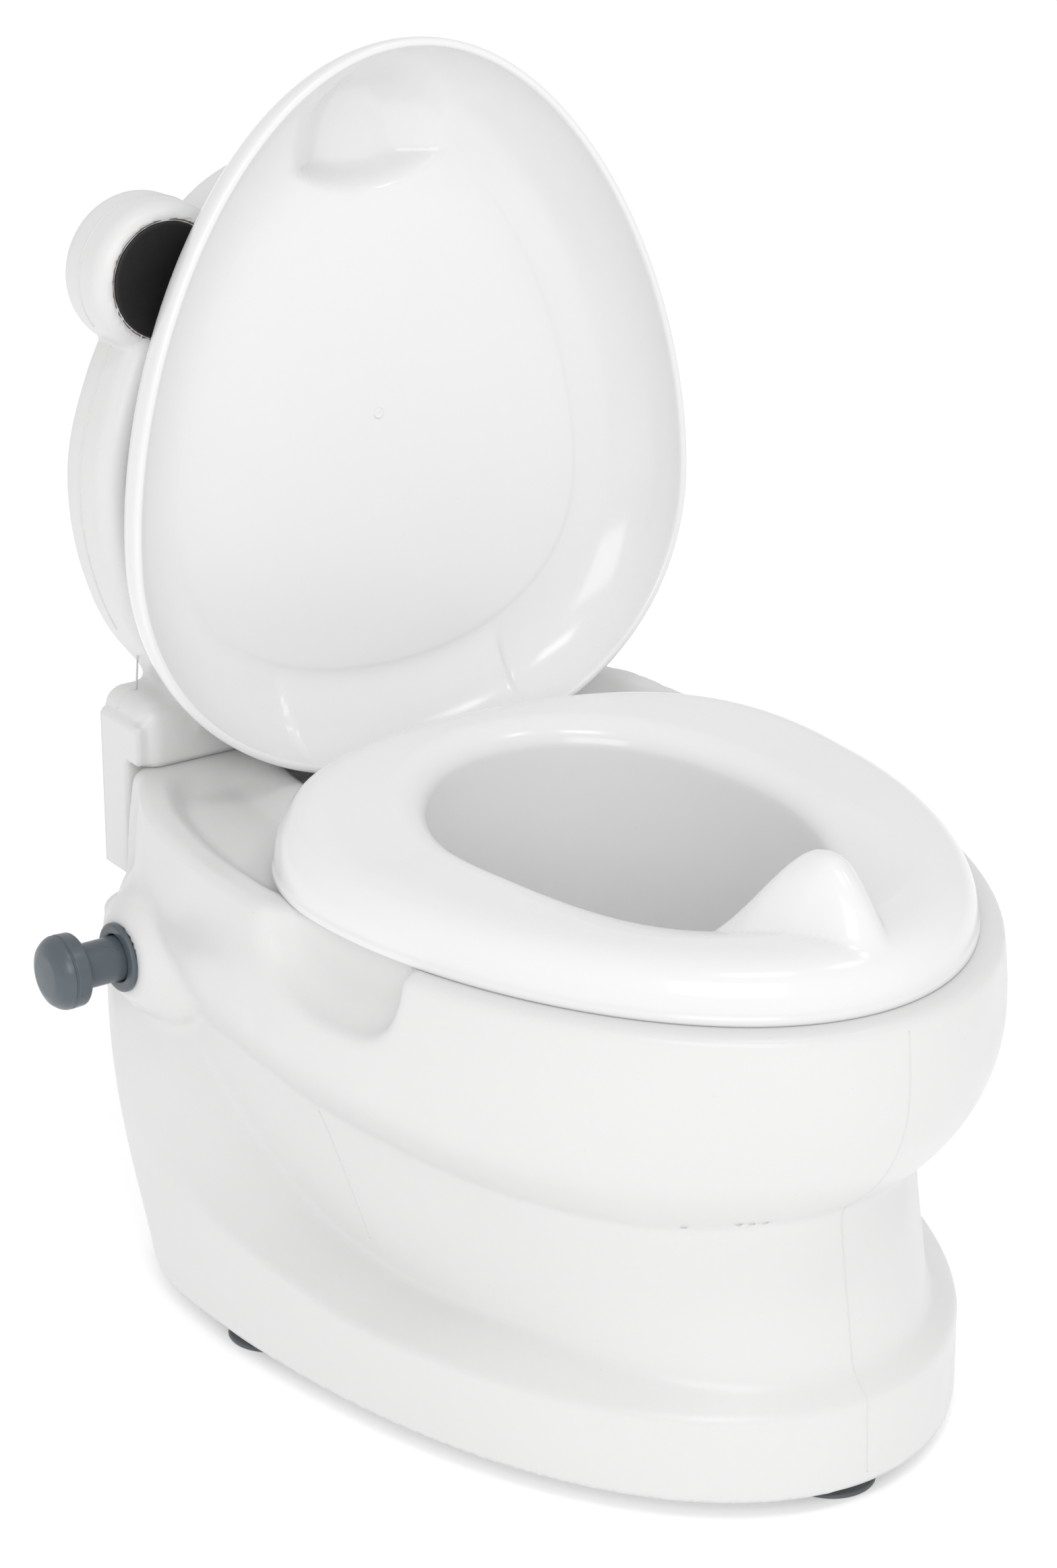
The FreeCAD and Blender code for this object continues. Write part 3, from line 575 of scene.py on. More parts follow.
def upper_form(y, z, angle, radius):
    """The waist, swelling into the bulge above its crease."""
    climb = np.clip((z - WAIST_BASE) / WAIST_HEIGHT, 0, 1)
    waist = WAIST_LOW.at(angle) * (1 - climb) + WAIST_HIGH.at(angle) * climb
    crease = crease_line(y)
    above = (z - crease + np.sqrt((z - crease) ** 2 + CREASE_ROUNDING)) / 2
    rise = np.clip(above / (WIDEST_Z - crease), 0, 1)
    swell = np.clip(1 - (1 - rise) ** 2, 0, 1) ** 0.8
    tuck = np.clip((z - WIDEST_Z) / (RIM_Z - WIDEST_Z), 0, 1) ** 2
    widest = BULGE.at(angle) * (1 - tuck) + RIM.at(angle) * tuck
    return (radius - waist - (widest - waist) * swell) * BULGE.lean_at(angle)


def knob_boss(x, y, z):
    """Round boss for the flush knob, with its wedge running forward into the bulge."""
    along = np.clip((KNOB_Y - y) / WEDGE_LENGTH, 0, 1)
    wedge = np.hypot(y - KNOB_Y + WEDGE_LENGTH * along, z - KNOB_Z - 6 * along)
    wedge = blend_max(wedge - (BOSS_RADIUS - 10 * along), -x - (135.5 - 13 * along), 2.5)
    around = np.hypot(y - KNOB_Y, z - KNOB_Z)
    cone = (around - BOSS_RADIUS + (-x - BOSS_BASE) * 0.94) * 0.73
    cone = blend_max(cone, around - BOSS_RADIUS - 9, 3)
    boss = blend_min(wedge, blend_max(cone, -x - BOSS_FACE, 2), 2.5)
    return blend_max(boss, x + 70, 2)


def finger_scoop(y, z, angle, radius):
    """The grip under the seat's edge on each side, negative inside."""
    outward = (radius - BULGE.at(angle)) * BULGE.lean_at(angle)
    forward = np.clip(-(y - SCOOP_Y) / 39, 0, None) ** 3.2
    rearward = np.clip((y - SCOOP_Y) / 45, 0, None) ** 2
    upright = (np.abs(z - SCOOP_Z) / 34) ** 2.6
    return (np.sqrt(((outward - 4) / 24) ** 2 + (forward + rearward) + upright) - 1) * 20


def seat_well(side, y, z, upper):
    """The hole that the bowl hangs in, kept inside the waist."""
    angle = np.arctan2(side, -(y - WELL.centre))
    radius = np.hypot(side, y - WELL.centre)
    well = (radius - WELL.at(angle) + (RIM_Z - z) * 0.03) * WELL.lean_at(angle)
    well = blend_max(well, WELL_FLOOR - z, 12)
    return blend_max(well, upper + 5, 6)


def opened_behind(x, y, z, node, gap, corner):
    """A box round a node, open to the rear."""
    low, high = node_box(node)
    return soft_box(x, y, z, low - gap, (high[0] + gap, BEHIND, high[2] + gap), corner)


def body_field(x, y, z):
    side = np.abs(x)
    angle = np.arctan2(side, -(y - AXIS_Y))
    radius = np.hypot(side, y - AXIS_Y)
    plinth, lower = lower_form(y, z, angle, radius)
    upper = upper_form(y, z, angle, radius)
    shape = blend_min(lower, upper, 2)
    dip = 7 * ease(-shape, 10, 22) * ease(y, 40, 62) * ease(-y, -166, -150) * ease(side, 62, 82)
    shape = blend_max(shape, z - deck_line(y) + dip, 4)
    shape = blend_min(shape, knob_boss(x, y, z), 4)
    shape = blend_max(shape, -finger_scoop(y, z, angle, radius), 3.5)
    shape = blend_max(shape, -soft_box(x, y, z, RECESS_LOW, RECESS_HIGH, 6), 4)
    shape = blend_max(shape, -seat_well(side, y, z, upper), 2)
    shape = blend_max(shape, -opened_behind(x, y, z, "sound_unit_case", BAY_GAP, 2), 0.8)
    shape = blend_max(shape, -opened_behind(x, y, z, "battery_door", DOOR_GAP, 1.5), 0.8)
    bore = np.maximum(np.hypot(y - KNOB_Y, z - KNOB_Z) - BORE_RADIUS, x + 100)
    shape = blend_max(shape, -bore, 0.6)
    underside = blend_max(plinth + 5, z - 14, 3)
    shape = blend_max(shape, -underside, 1.5)
    return blend_max(shape, FOOT_GAP - z, 3.5)


def make_body():
    points, quads = skin(body_field, (-150, -178, FOOT_GAP - 2), (140, 192, 212), BODY_PITCH)
    make_piece("body_moulding", points, quads, "body", white_satin, ["body_shell"])
    levels = np.linspace(12, 196, 150)
    starts = np.stack([0 * levels, -200 + 0 * levels, levels], axis=1)
    seam("body_front_parting", body_field, starts, (0, 1, 0), 90, 0.35)
    run = np.linspace(0, 1, 60)
    for sign, word in SIDES:
        starts = np.stack([sign * (160 + 0 * run), 38 - 23.5 * run, 112 - 47 * run], axis=1)
        seam("waist_parting_" + word, body_field, starts, (-sign, 0, 0), 90)


make_body()

# ---------------------------------------------------------- seat and its bowl

SPOKES = 480
HOLE_Y = 5.0
SEAT_BASE = 200.4
SEAT_EDGE_Z = 204.0
SEAT_CROWN = 18.0
REAR_RISE = 6.6
BOWL_FLOOR = 76.0
BOWL_WALL = 2.6
BOWL_RIM = 212.0
FLOOR_PARTS = (0.04, 0.3, 0.6, 0.85)
# under the seat: distance out from its edge, and height
SEAT_UNDERSIDE = (
    (0.0, 203.8), (0.5, 203.2), (0.7, 202.2), (0.8, 201.2), (0.5, SEAT_BASE), (-6, SEAT_BASE),
    (-15.5, SEAT_BASE), (-16, 199.8), (-16.5, 186.8), (-17, 186.2), (-18.3, 186.2), (-19, 187),
    (-19, 204),
)

seat_edge = seat_outline(0, HOLE_Y)
hole_edge = Outline(HOLE_Y, 101, 68, HOLE_Y, 82, nose=(0.55, 0.55), tail=(0.55, 0.55))
spoke = np.linspace(0, 2 * math.pi, SPOKES, endpoint=False)
fold = np.where(spoke > math.pi, 2 * math.pi - spoke, spoke)
seat_reach = seat_edge.at(fold)
hole_reach = hole_edge.at(fold)
guard_width = Ramp([-160, -153, -134, -122, -112, -98, -80], [5, 7, 16.5, 23, 28, 29, 29], 3)
guard_rise = Ramp([-160, -153, -149, -145, -139, -134, -128, -122, -110, -90],
                  [0, 0, 6, 12, 18.5, 22.5, 26, 27, 27, 27], 1.6)


def seat_height(x, y, outer, inner):
    """Height of the seat's top at a place, given its distance from both edges."""
    shoulder = np.clip(1 - outer / 22, 0, 1)
    crown = SEAT_CROWN + REAR_RISE * ease(y, 5, 100)
    top = SEAT_EDGE_Z + crown * np.sqrt(np.clip(1 - shoulder ** 3, 0, 1))
    front = ease(-y, 20, 110)
    near = np.clip(1 - inner / (13 + 16 * front), 0, 1)
    top = top - 10 * (1 - np.sqrt(np.clip(1 - near ** 2, 0, 1))) - 1.2 * near * (0.3 + 4 * front)
    flare = np.clip(np.abs(x) / guard_width(y), 0, 1)
    horn = guard_rise(y) * np.clip(1 - flare ** 1.9, 0, 1) ** 1.15 * ease(-y, 62, 84)
    back = np.clip(1 - inner / 17, 0, 1)
    return top + horn * np.sqrt(np.clip(1 - back ** 2, 0, 1))


def spoke_ring(reach, height):
    """A ring of points round the hole's axis."""
    return np.stack([np.sin(spoke) * reach, HOLE_Y - np.cos(spoke) * reach, height + 0 * reach], axis=1)


def bowl_reach(level, grow):
    """Bowl wall distance from its axis at a height."""
    rise = np.clip((level - BOWL_FLOOR) / (BOWL_RIM - BOWL_FLOOR), 0, 1)
    inset = 9 * (1 - rise) + 24 * (1 - rise) ** 9
    return hole_reach - inset + grow


def seat_top_ring(share):
    """One ring of the seat's top, from the hole's edge at 0 to the outer edge at 1."""
    reach = hole_reach + (seat_reach - hole_reach) * share * 0.999
    ring = spoke_ring(reach, 0)
    outer = (seat_reach - reach) * seat_edge.lean_at(fold)
    inner = (reach - hole_reach) * hole_edge.lean_at(fold)
    ring[:, 2] = seat_height(ring[:, 0], ring[:, 1], outer, inner)
    return ring


def make_seat():
    floor_in = BOWL_FLOOR + BOWL_WALL
    rings = [spoke_ring((hole_reach - 33) * part, floor_in) for part in FLOOR_PARTS]
    for level in floor_in + (209 - floor_in) * np.linspace(0, 1, 46) ** 1.5:
        rings.append(spoke_ring(bowl_reach(level, 0), level))
    for share in np.linspace(0, 1, 90):
        rings.append(seat_top_ring(share ** 1.25))
    for offset, level in SEAT_UNDERSIDE:
        rings.append(spoke_ring(seat_reach + offset, level))
    rings.append(spoke_ring(hole_reach + 9, 206))
    for level in 206 - (206 - BOWL_FLOOR) * np.linspace(0.02, 1, 40) ** 0.7:
        rings.append(spoke_ring(bowl_reach(level, BOWL_WALL), level))
    for part in FLOOR_PARTS[::-1]:
        rings.append(spoke_ring((hole_reach - 31) * part, BOWL_FLOOR))
    points, faces = ring_mesh(rings)
    make_piece("seat_and_bowl_moulding", points, faces, "insert", white_gloss,
               ["seat_and_bowl"])


make_seat()

# ----------------------------------------------------------------------- lid

LID_RIM = 206.5
LID_DEPTH = 30.0
LID_WALL = 2.6
OVERHANG = 5.6
COVE = 36.0
PANEL_INSET = 35.0
LIP_INSET = 3.4
LAST_INSET = 114.5
LID_MIDDLE = np.array([0.0, -12.0])
GATE_Y = -14.5
TAB_HALF = 54.0
KNUCKLE_INNER = 38.0
KNUCKLE_LENGTH = 10.0
KNUCKLE_RADIUS = 3.8
PIN_HOLE_RADIUS = 2.05
# the rolled lower edge: inset, and height over the rim
LID_EDGE = ((3.1, -0.5), (2.4, -0.9), (1.3, -0.9), (0.5, -0.4), (0.1, 0.6))

pocket_width = Ramp([-175, -160, -150, -137, -122, -108, -90], [4, 7, 17, 26.5, 31, 32, 32], 3)


def lid_plan():
    """Evenly spaced points round the lid's edge, and the way inward from each."""
    half = half_oval(SEAT["front"] + OVERHANG, SEAT["half"] + OVERHANG, SEAT["wide_at"],
                     SEAT["rear"] + OVERHANG, SEAT["nose"], SEAT["tail"])
    loop = np.vstack([half, half[-2:0:-1] * [-1, 1]])
    steps = np.linalg.norm(np.roll(loop, -1, axis=0) - loop, axis=1)
    length = np.concatenate([[0], np.cumsum(steps)])
    loop = np.vstack([loop, loop[:1]])
    places = np.linspace(0, length[-1], SPOKES, endpoint=False)
    edge = np.stack([np.interp(places, length, loop[:, n]) for n in (0, 1)], axis=1)
    run = np.roll(edge, -1, axis=0) - np.roll(edge, 1, axis=0)
    inward = np.stack([-run[:, 1], run[:, 0]], axis=1)
    inward /= np.linalg.norm(inward, axis=1)[:, None]
    if ((edge + inward) ** 2).sum() > (edge ** 2).sum():
        inward = -inward
    return edge, inward


lid_edge, lid_inward = lid_plan()


def lid_place(inset):
    """Plan positions of a ring at one inset; beyond the cove it shrinks to the middle."""
    if inset <= COVE:
        return lid_edge + lid_inward * inset
    share = (inset - COVE) / (115 - COVE)
    return (lid_edge + lid_inward * COVE) * (1 - share) + LID_MIDDLE * share


def pocket_depth(x, y):
    """Extra depth of the pocket that clears the splash guard."""
    side = (pocket_width(y) + 7 - np.abs(x)) / 23
    low_edge = (-103 - 6 * (x / 25) ** 2 - y) / 11
    far_edge = (y + 172) / 32
    inside = np.clip(np.minimum(np.minimum(side, low_edge), far_edge), 0, 1)
    return 12 * inside * inside * (3 - 2 * inside)


def tab_relief(x, y, inset):
    """Share of the depth taken off at the hinge tab, at the rear of the dish."""
    inside = ease(TAB_HALF - np.abs(x), 0, 2.5)
    return 0.12 * ease(y, 60, 90) * inside * ease(-inset, -34, -17)


def opened(points):
    """Turns closed-lid points about the hinge to the open rest position."""
    turn = -LID_OPEN
    y = points[:, 1] - HINGE_Y
    z = points[:, 2] - HINGE_Z
    return np.stack([points[:, 0], HINGE_Y + y * math.cos(turn) - z * math.sin(turn),
                     HINGE_Z + y * math.sin(turn) + z * math.cos(turn)], axis=1)


def lid_ring(inset, height, inner):
    """One ring of the closed lid, on its inner or outer face."""
    plan = lid_place(inset)
    x, y = plan.T
    level = LID_RIM + height + pocket_depth(x, y) * ease(inset, 8, 24)
    if inner:
        level = level - (level - LID_RIM) * tab_relief(x, y, inset)
        level = level - 0.3 * ease(inset - PANEL_INSET, 0, 2.4) * ease(y, -99.5, -97)
    return np.stack([x, y, level], axis=1)


def crowned(inset):
    """The panel's slight crown over its inset."""
    return 0.6 * (inset - PANEL_INSET) / 80


def lid_rings():
    rings = []
    for inset in (*np.linspace(LAST_INSET, 37.2, 52), 36.8, 36.4, 36.0, 35.5, PANEL_INSET):
        rings.append(lid_ring(inset, LID_DEPTH + crowned(inset), True))
    for t in np.linspace(0.5 * math.pi, 0.0, 34)[1:]:
        inset = LIP_INSET + (34.9 - LIP_INSET) * (1 - math.cos(t))
        rings.append(lid_ring(inset, LID_DEPTH * math.sin(t), True))
    for inset, height in LID_EDGE:
        rings.append(lid_ring(inset, height, False))
    for t in np.linspace(0.03 * math.pi, 0.5 * math.pi, 32):
        rings.append(lid_ring(COVE * (1 - math.cos(t)), (LID_DEPTH + LID_WALL) * math.sin(t), False))
    for inset in np.linspace(37.5, LAST_INSET, 50):
        rings.append(lid_ring(inset, LID_DEPTH + LID_WALL + crowned(inset), False))
    return rings


def lid_piece(name, points, faces, replaced=()):
    make_piece(name, opened(points), faces, "lid", white_gloss, replaced)


def hinge_knuckle(sign, word):
    """A knuckle on the hinge pin, and the web that joins it to the lid."""
    ends = rounded([(0, PIN_HOLE_RADIUS), (0, KNUCKLE_RADIUS), (KNUCKLE_LENGTH, KNUCKLE_RADIUS),
                    (KNUCKLE_LENGTH, PIN_HOLE_RADIUS)], 0.6)
    origin = (sign * KNUCKLE_INNER, HINGE_Y, HINGE_Z)
    barrel = lathe(ends + [ends[0]], origin, (sign, 0, 0), 48)
    lid_piece("lid_knuckle_" + word, *ring_mesh(barrel, False, False))
    left, right = sorted((sign * KNUCKLE_INNER, sign * (KNUCKLE_INNER + KNUCKLE_LENGTH)))
    web_low = (left, HINGE_Y - 3.8, HINGE_Z + 3.2)
    web_high = (right, HINGE_Y + 1.0, LID_RIM + 10)

    def web(x, y, z):
        return soft_box(x, y, z, web_low, web_high, 1.2)

    area_low = (left, HINGE_Y - 4, HINGE_Z + 3)
    area_high = (right, HINGE_Y + 2, LID_RIM + 11)
    lid_piece("lid_web_" + word, *skin(web, area_low, area_high, 0.9))


def make_lid():
    lid_piece("lid_moulding", *ring_mesh(lid_rings()), ["lid"])
    gate_profile = rounded([(0, 0.05), (0.35, 1.1), (0.3, 2.0), (-0.6, 2.6)], 0.3)
    points, faces = ring_mesh(lathe(gate_profile, (0, 0, 0), (0, 0, -1), 32))
    lid_piece("lid_gate_mark", points + [0.0, GATE_Y, LID_RIM + LID_DEPTH + 0.05], faces)
    for sign, word in SIDES:
        hinge_knuckle(sign, word)


make_lid()

# ----------------------------------------------------------------- backboard

BOARD_FRONT = 173.5
BOARD_REAR = 205.2
BOARD_MIDDLE = (BOARD_FRONT + BOARD_REAR) / 2
BOARD_PITCH = 2.0
BOARD_LEAN = 0.0436
LOBE_X = 90.0
LOBE_Z = 404.2
LOBE_R = 30.4
DISC_R = 23.4
DISC_POCKET_R = 24.2
DISC_POCKET_DEPTH = 1.4
BORDER_WIDTH = 12.0
CROWN_RELIEF = 426.5
HEAD_BASE = 222.0
GRID_STEP = 1.5
BOARD_SCREW_X = 60.0
BOARD_SCREW_Z = 172.0
SEAM_LOW = 262.0
# right half of the head's outline, from the neck up to the crown
HEAD_OUTLINE = np.array([
    [88, 226], [95.4, 241.6], [105, 254.2], [115.4, 274.4], [122.0, 298.6], [123.8, 317.0],
    [122.4, 337.0], [116.2, 358.0], [106, 380], [90, 402], [72, 424], [55.2, 436.0],
    [30, 443.6], [0, 446.0],
])


def spline(knots, values, at):
    """Natural cubic through values at the knots."""
    n = len(knots)
    gap = np.diff(knots)
    matrix = np.eye(n)
    right = np.zeros(n)
    for i in range(1, n - 1):
        matrix[i, i - 1:i + 2] = [gap[i - 1], 2 * (gap[i - 1] + gap[i]), gap[i]]
        after = (values[i + 1] - values[i]) / gap[i]
        before = (values[i] - values[i - 1]) / gap[i - 1]
        right[i] = 6 * (after - before)
    second = np.linalg.solve(matrix, right)
    span = np.clip(np.searchsorted(knots, at) - 1, 0, n - 2)
    a = (knots[span + 1] - at) / gap[span]
    b = 1 - a
    bend = (a ** 3 - a) * second[span] + (b ** 3 - b) * second[span + 1]
    return a * values[span] + b * values[span + 1] + bend * gap[span] ** 2 / 6


knots = np.concatenate([[0], np.cumsum(np.linalg.norm(np.diff(HEAD_OUTLINE, axis=0), axis=1))])
along = np.linspace(0, knots[-1], 500)
head_x = spline(knots, HEAD_OUTLINE[:, 0], along)
head_z = spline(knots, HEAD_OUTLINE[:, 1], along)
area_x = np.arange(0, 136, GRID_STEP)
area_z = np.arange(214, 456, GRID_STEP)


def head_grid():
    """Signed distance to the head's outline on a grid of its right half."""
    grid_x, grid_z = np.meshgrid(area_x, area_z, indexing="ij")
    nearest = np.full(grid_x.shape, 1e9)
    for x, z in zip(head_x, head_z):
        nearest = np.minimum(nearest, (grid_x - x) ** 2 + (grid_z - z) ** 2)
    edge_x = np.interp(grid_z, head_z, head_x, left=HEAD_OUTLINE[0, 0], right=-1)
    signed = np.where(grid_x < edge_x, -1, 1) * np.sqrt(nearest)
    return np.maximum(signed, HEAD_BASE - grid_z)


head_table = head_grid()


def head_distance(x, z):
    """Distance to the head's outline, read from its grid."""
    u = np.clip((np.abs(x) - area_x[0]) / GRID_STEP, 0, len(area_x) - 1.001)
    v = np.clip((z - area_z[0]) / GRID_STEP, 0, len(area_z) - 1.001)
    u, v = np.broadcast_arrays(u, v)
    i = u.astype(int)
    j = v.astype(int)
    s = u - i
    t = v - j
    low = head_table[i, j] * (1 - s) + head_table[i + 1, j] * s
    high = head_table[i, j + 1] * (1 - s) + head_table[i + 1, j + 1] * s
    return low * (1 - t) + high * t


def plate(flat, y, front, rear, radius):
    """A plate of an outline between two depths, with rounded edges."""
    q1 = flat + radius
    q2 = np.abs(y - (front + rear) / 2) - (rear - front) / 2 + radius
    outside = np.sqrt(np.maximum(q1, 0) ** 2 + np.maximum(q2, 0) ** 2)
    return outside + np.minimum(np.maximum(q1, q2), 0) - radius


def board_block(x, y, z):
    """The foot of the board, which hooks over the back of the body."""
    block = soft_box(x, y, z, (-111.4, 168.3, 195), (111.4, 205.4, 235), 9)
    block = blend_max(block, 208.6 - z, 1)
    block = blend_min(block, soft_box(x, y, z, (-111.4, 182, 158), (111.4, 205.4, 220), 4), 2)
    arm = soft_box(x, y, z, (-113.6, 170.5, 209.6), (113.6, 200.5, 226.5), 1.4)
    leg = soft_box(x, y, z, (-113.6, 180, 159.6), (113.6, 200.5, 222), 1.4)
    return blend_min(block, np.minimum(arm, leg), 0.6)


def board_field(x, y, z):
    side = np.abs(x)
    head = head_distance(x, z)
    lobe = np.hypot(side - LOBE_X, z - LOBE_Z)
    front = BOARD_FRONT - np.clip(LOBE_Z - z, 0, 160) * BOARD_LEAN
    shape = plate(head, y, front, BOARD_REAR, 8)
    # the face inside the raised border is a little lower
    face = np.maximum(head + BORDER_WIDTH, y - (front + 2.6))
    shape = blend_max(shape, -face, 2.5)
    shape = blend_min(shape, plate(lobe - LOBE_R, y, BOARD_FRONT, BOARD_REAR, 7), 2.5)
    pocket = np.maximum(lobe - DISC_POCKET_R, y - BOARD_FRONT - DISC_POCKET_DEPTH)
    shape = blend_max(shape, -pocket, 0.8)
    relief = soft_box(x, y, z, (-37, 160, CROWN_RELIEF), (37, 191.5, 470), 2)
    shape = blend_max(shape, -relief, 1.5)
    shape = blend_max(blend_min(shape, board_block(x, y, z), 6), y - BOARD_REAR, 1)
    for sign, _ in SIDES:
        screw = np.hypot(x - sign * BOARD_SCREW_X, z - BOARD_SCREW_Z) - 3.6
        shape = blend_max(shape, -np.maximum(screw, 202.4 - y), 0.8)
    return shape


def lobe_disc(sign, word):
    """A black disc in its pocket, with a fine printed rim round it."""
    centre = (sign * LOBE_X, BOARD_FRONT + DISC_POCKET_DEPTH, LOBE_Z)
    profile = [(-0.2, 0.1), (0, DISC_R - 0.2), (0.9, DISC_R - 0.5), (1.1, DISC_R - 1.6), (0.0, 0.1)]
    points, faces = ring_mesh(lathe(rounded(profile, 0.5), centre, (0, -1, 0), 128))
    make_piece("lobe_disc_face_" + word, points, faces, "body", black_disc,
               ["lobe_disc_" + word])
    turn = np.linspace(0, 2 * math.pi, 160, endpoint=False)
    reach = DISC_R + 0.5
    path = np.stack([centre[0] + reach * np.cos(turn), centre[1] - 0.2 + 0 * turn,
                     LOBE_Z + reach * np.sin(turn)], axis=1)
    bead("lobe_disc_rim_" + word, path, 0.42, True, rim_line)


def board_partings():
    """The parting lines round the edge of the head, the lobes and the foot."""
    clear = np.hypot(head_x - LOBE_X, head_z - LOBE_Z) > LOBE_R + 0.5
    keep = clear & (head_z > SEAM_LOW) & (head_z < LOBE_Z - 12)
    turn = np.linspace(-0.62, 2.35, 110)
    for sign, word in SIDES[::-1]:
        xs = head_x[keep][::sign]
        path = np.stack([sign * xs, BOARD_MIDDLE + 0 * xs, head_z[keep][::sign]], axis=1)
        bead("board_parting_" + word, path)
        path = np.stack([sign * (LOBE_X + LOBE_R * np.cos(turn)), BOARD_MIDDLE + 0 * turn,
                         LOBE_Z + LOBE_R * np.sin(turn)], axis=1)
        bead("lobe_parting_" + word, path)
    span = np.linspace(-111, 111, 200)
    starts = np.stack([span, BOARD_MIDDLE + 0 * span, 250 + 0 * span], axis=1)
    seam("block_parting", board_field, starts, (0, 0, -1), 60)


def make_board():
    points, quads = skin(board_field, (-126, 166, 156), (126, 207, 448), BOARD_PITCH)
    make_piece("backboard_moulding", points, quads, "body", white_satin, ["backboard"])
    for sign, word in SIDES:
        lobe_disc(sign, word)
    board_partings()


make_board()

# ---------------------------------------------------------------- flush knob

KNOB_AXIS = (-1, 0, 0)
KNOB_ORIGIN = (0, KNOB_Y, KNOB_Z)
HEAD_START = 160.5
STALK_START = 118.0
STALK_RADIUS = 9.1
ROD_RADIUS = 3.0


def knob_piece(name, profile, softness, body, replaced, count, capped=True):
    rings = lathe(rounded(profile, softness), KNOB_ORIGIN, KNOB_AXIS, count)
    points, faces = ring_mesh(rings, capped, capped)
    make_piece(name, points, faces, body, slate, replaced)


def make_knob():
    """Stalk and head, the rod behind them, and the collar on the boss."""
    groove = HEAD_START + 7.0
    head = [(STALK_START, 0.05), (STALK_START, STALK_RADIUS), (HEAD_START - 1.5, STALK_RADIUS),
            (HEAD_START, 10.6), (HEAD_START + 0.2, 13.6), (HEAD_START + 1.2, 14.8),
            (groove - 0.4, 15.0), (groove, 14.4), (groove + 0.5, 14.4), (groove + 0.9, 15.0),
            (KNOB_END - 4.6, 14.3), (KNOB_END - 1.9, 12.2), (KNOB_END - 0.4, 8.6), (KNOB_END, 0.05)]
    knob_piece("flush_knob_head", head, 1.1, "knob", (), 128)
    rod_end = -node_box("flush_knob")[1][0]
    rod = [(rod_end, 0.05), (rod_end, ROD_RADIUS), (STALK_START + 0.5, ROD_RADIUS),
           (STALK_START + 0.5, 0.05)]
    knob_piece("flush_knob_rod", rod, 0.5, "knob", ["flush_knob"], 48)
    inner_end = -node_box("knob_collar")[1][0]
    collar = [(inner_end, 9.4), (inner_end, 11.3), (BOSS_FACE - 0.1, 11.3), (BOSS_FACE, 14.0),
              (COLLAR_FACE - 0.6, 14.0), (COLLAR_FACE, 13.0), (COLLAR_FACE, 10.2),
              (COLLAR_FACE - 0.8, 9.5), (inner_end, 9.4)]
    knob_piece("knob_collar_ring", collar, 0.7, "body", ["knob_collar"], 128, False)


make_knob()

# --------------------------------------------------------------- suction feet


def suction_foot(node):
    """A soft cup, hollow below, with a thick neck."""
    low, high = node_box(node)
    middle = ((low[0] + high[0]) / 2, (low[1] + high[1]) / 2, 0)
    reach = (high[0] - low[0]) / 2
    hollow = [(2.6, 0.05), (2.4, reach - 9), (1.2, reach - 5)]
    cup = [(0.0, reach - 3.4), (0.0, reach - 0.3), (0.7, reach), (1.6, reach - 0.6),
           (3.2, reach - 5), (4.4, reach - 8.2), (5.2, 8.2), (high[2] - 0.4, 8.0), (high[2], 7.4),
           (high[2], 0.05)]
    points, faces = ring_mesh(lathe(rounded(hollow + cup, 0.5), middle, (0, 0, 1), 96))
    make_piece(node + "_cup", points, faces, "body", slate_rubber, [node])


for word in ("front", "left", "right", "rear"):
    suction_foot("suction_foot_" + word)

# ------------------------------------------------------------ floor and light

FLOOR_REACH = 60.0
FLOOR_WHITE = (0.96, 0.96, 0.96, 1)
FLOOR_GLOW = 0.22
SKY_STRENGTH = 0.80
LIGHT_TARGET = Vector((0.02, -0.02, 0.2))


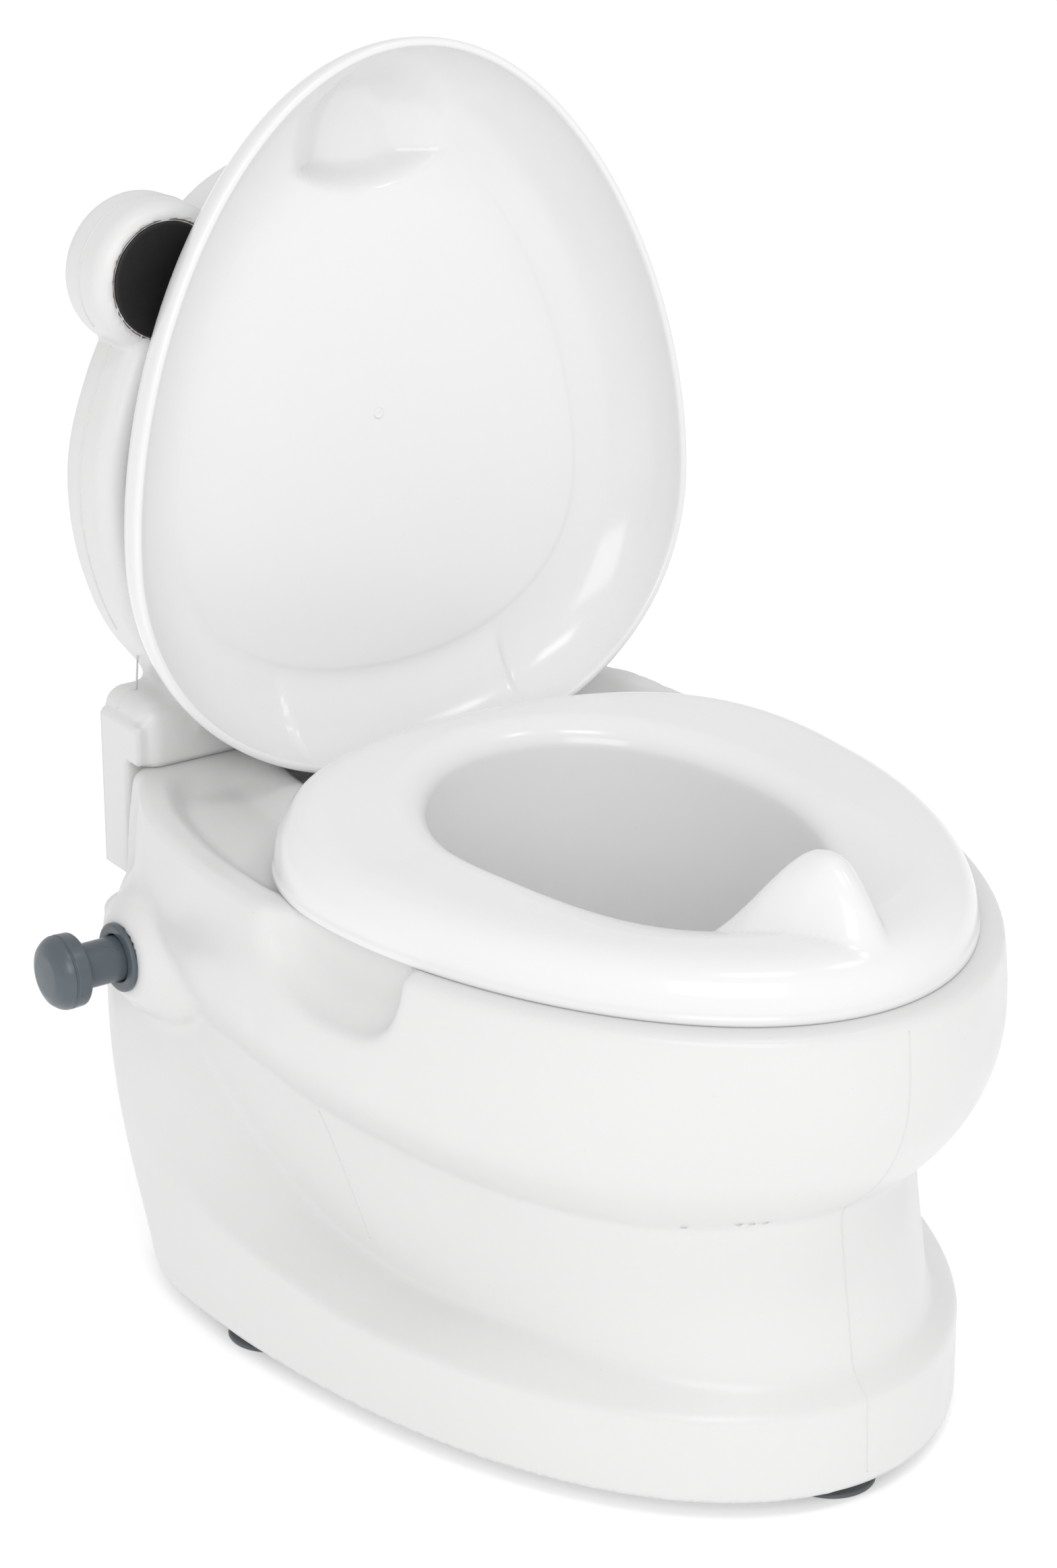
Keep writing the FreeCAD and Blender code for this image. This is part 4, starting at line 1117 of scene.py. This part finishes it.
def make_floor():
    """A plain pale floor that runs out of sight."""
    reach = FLOOR_REACH
    corners = [(-reach, -reach, 0), (reach, -reach, 0), (reach, reach, 0), (-reach, reach, 0)]
    mesh = bpy.data.meshes.new("studio_floor")
    mesh.from_pydata(corners, [], [(0, 1, 2, 3)])
    floor = bpy.data.objects.new("studio_floor", mesh)
    bpy.context.scene.collection.objects.link(floor)
    paper = bpy.data.materials.new("studio_paper")
    paper.use_nodes = True
    shader = paper.node_tree.nodes["Principled BSDF"]
    shader.inputs["Base Color"].default_value = FLOOR_WHITE
    shader.inputs["Roughness"].default_value = 0.9
    shader.inputs["Emission Color"].default_value = (1, 1, 1, 1)
    shader.inputs["Emission Strength"].default_value = FLOOR_GLOW
    mesh.materials.append(paper)


def make_sky():
    """Even white light from all round."""
    world = bpy.data.worlds.new("studio_world")
    bpy.context.scene.world = world
    world.use_nodes = True
    background = world.node_tree.nodes["Background"]
    background.inputs["Color"].default_value = (1, 1, 1, 1)
    background.inputs["Strength"].default_value = SKY_STRENGTH


def area_light(name, place, width, height, power):
    light = bpy.data.lights.new(name, "AREA")
    light.shape = "RECTANGLE"
    light.size = width
    light.size_y = height
    light.energy = power
    lamp = bpy.data.objects.new(name, light)
    bpy.context.scene.collection.objects.link(lamp)
    lamp.location = place
    lamp.rotation_euler = (LIGHT_TARGET - Vector(place)).to_track_quat("-Z", "Y").to_euler()


make_floor()
make_sky()
area_light("top_softbox_left", (-0.25, -0.78, 2.0), 0.55, 0.3, 3.0)
area_light("top_softbox_right", (0.78, -0.8, 2.0), 0.3, 0.3, 1.8)
area_light("front_softbox", (-1.3, -1.8, 1.4), 1.5, 1.3, 16)

# -------------------------------------------------------------------- camera

EYE = np.array([-836.25, -1150.81, 793.30])
LOOKING_DOWN = 21.51
TURNED_RIGHT = 34.61

camera_data = bpy.data.cameras.new("camera")
camera = bpy.data.objects.new("camera", camera_data)
bpy.context.scene.collection.objects.link(camera)
camera.location = Vector((EYE + SHIFT) / 1000)
camera.rotation_euler = (math.radians(90 - LOOKING_DOWN), 0, math.radians(-TURNED_RIGHT))
camera_data.lens = 92.82
camera_data.sensor_width = 36.0
camera_data.clip_start = 0.05
bpy.context.scene.camera = camera
bpy.context.scene.view_settings.view_transform = "Standard"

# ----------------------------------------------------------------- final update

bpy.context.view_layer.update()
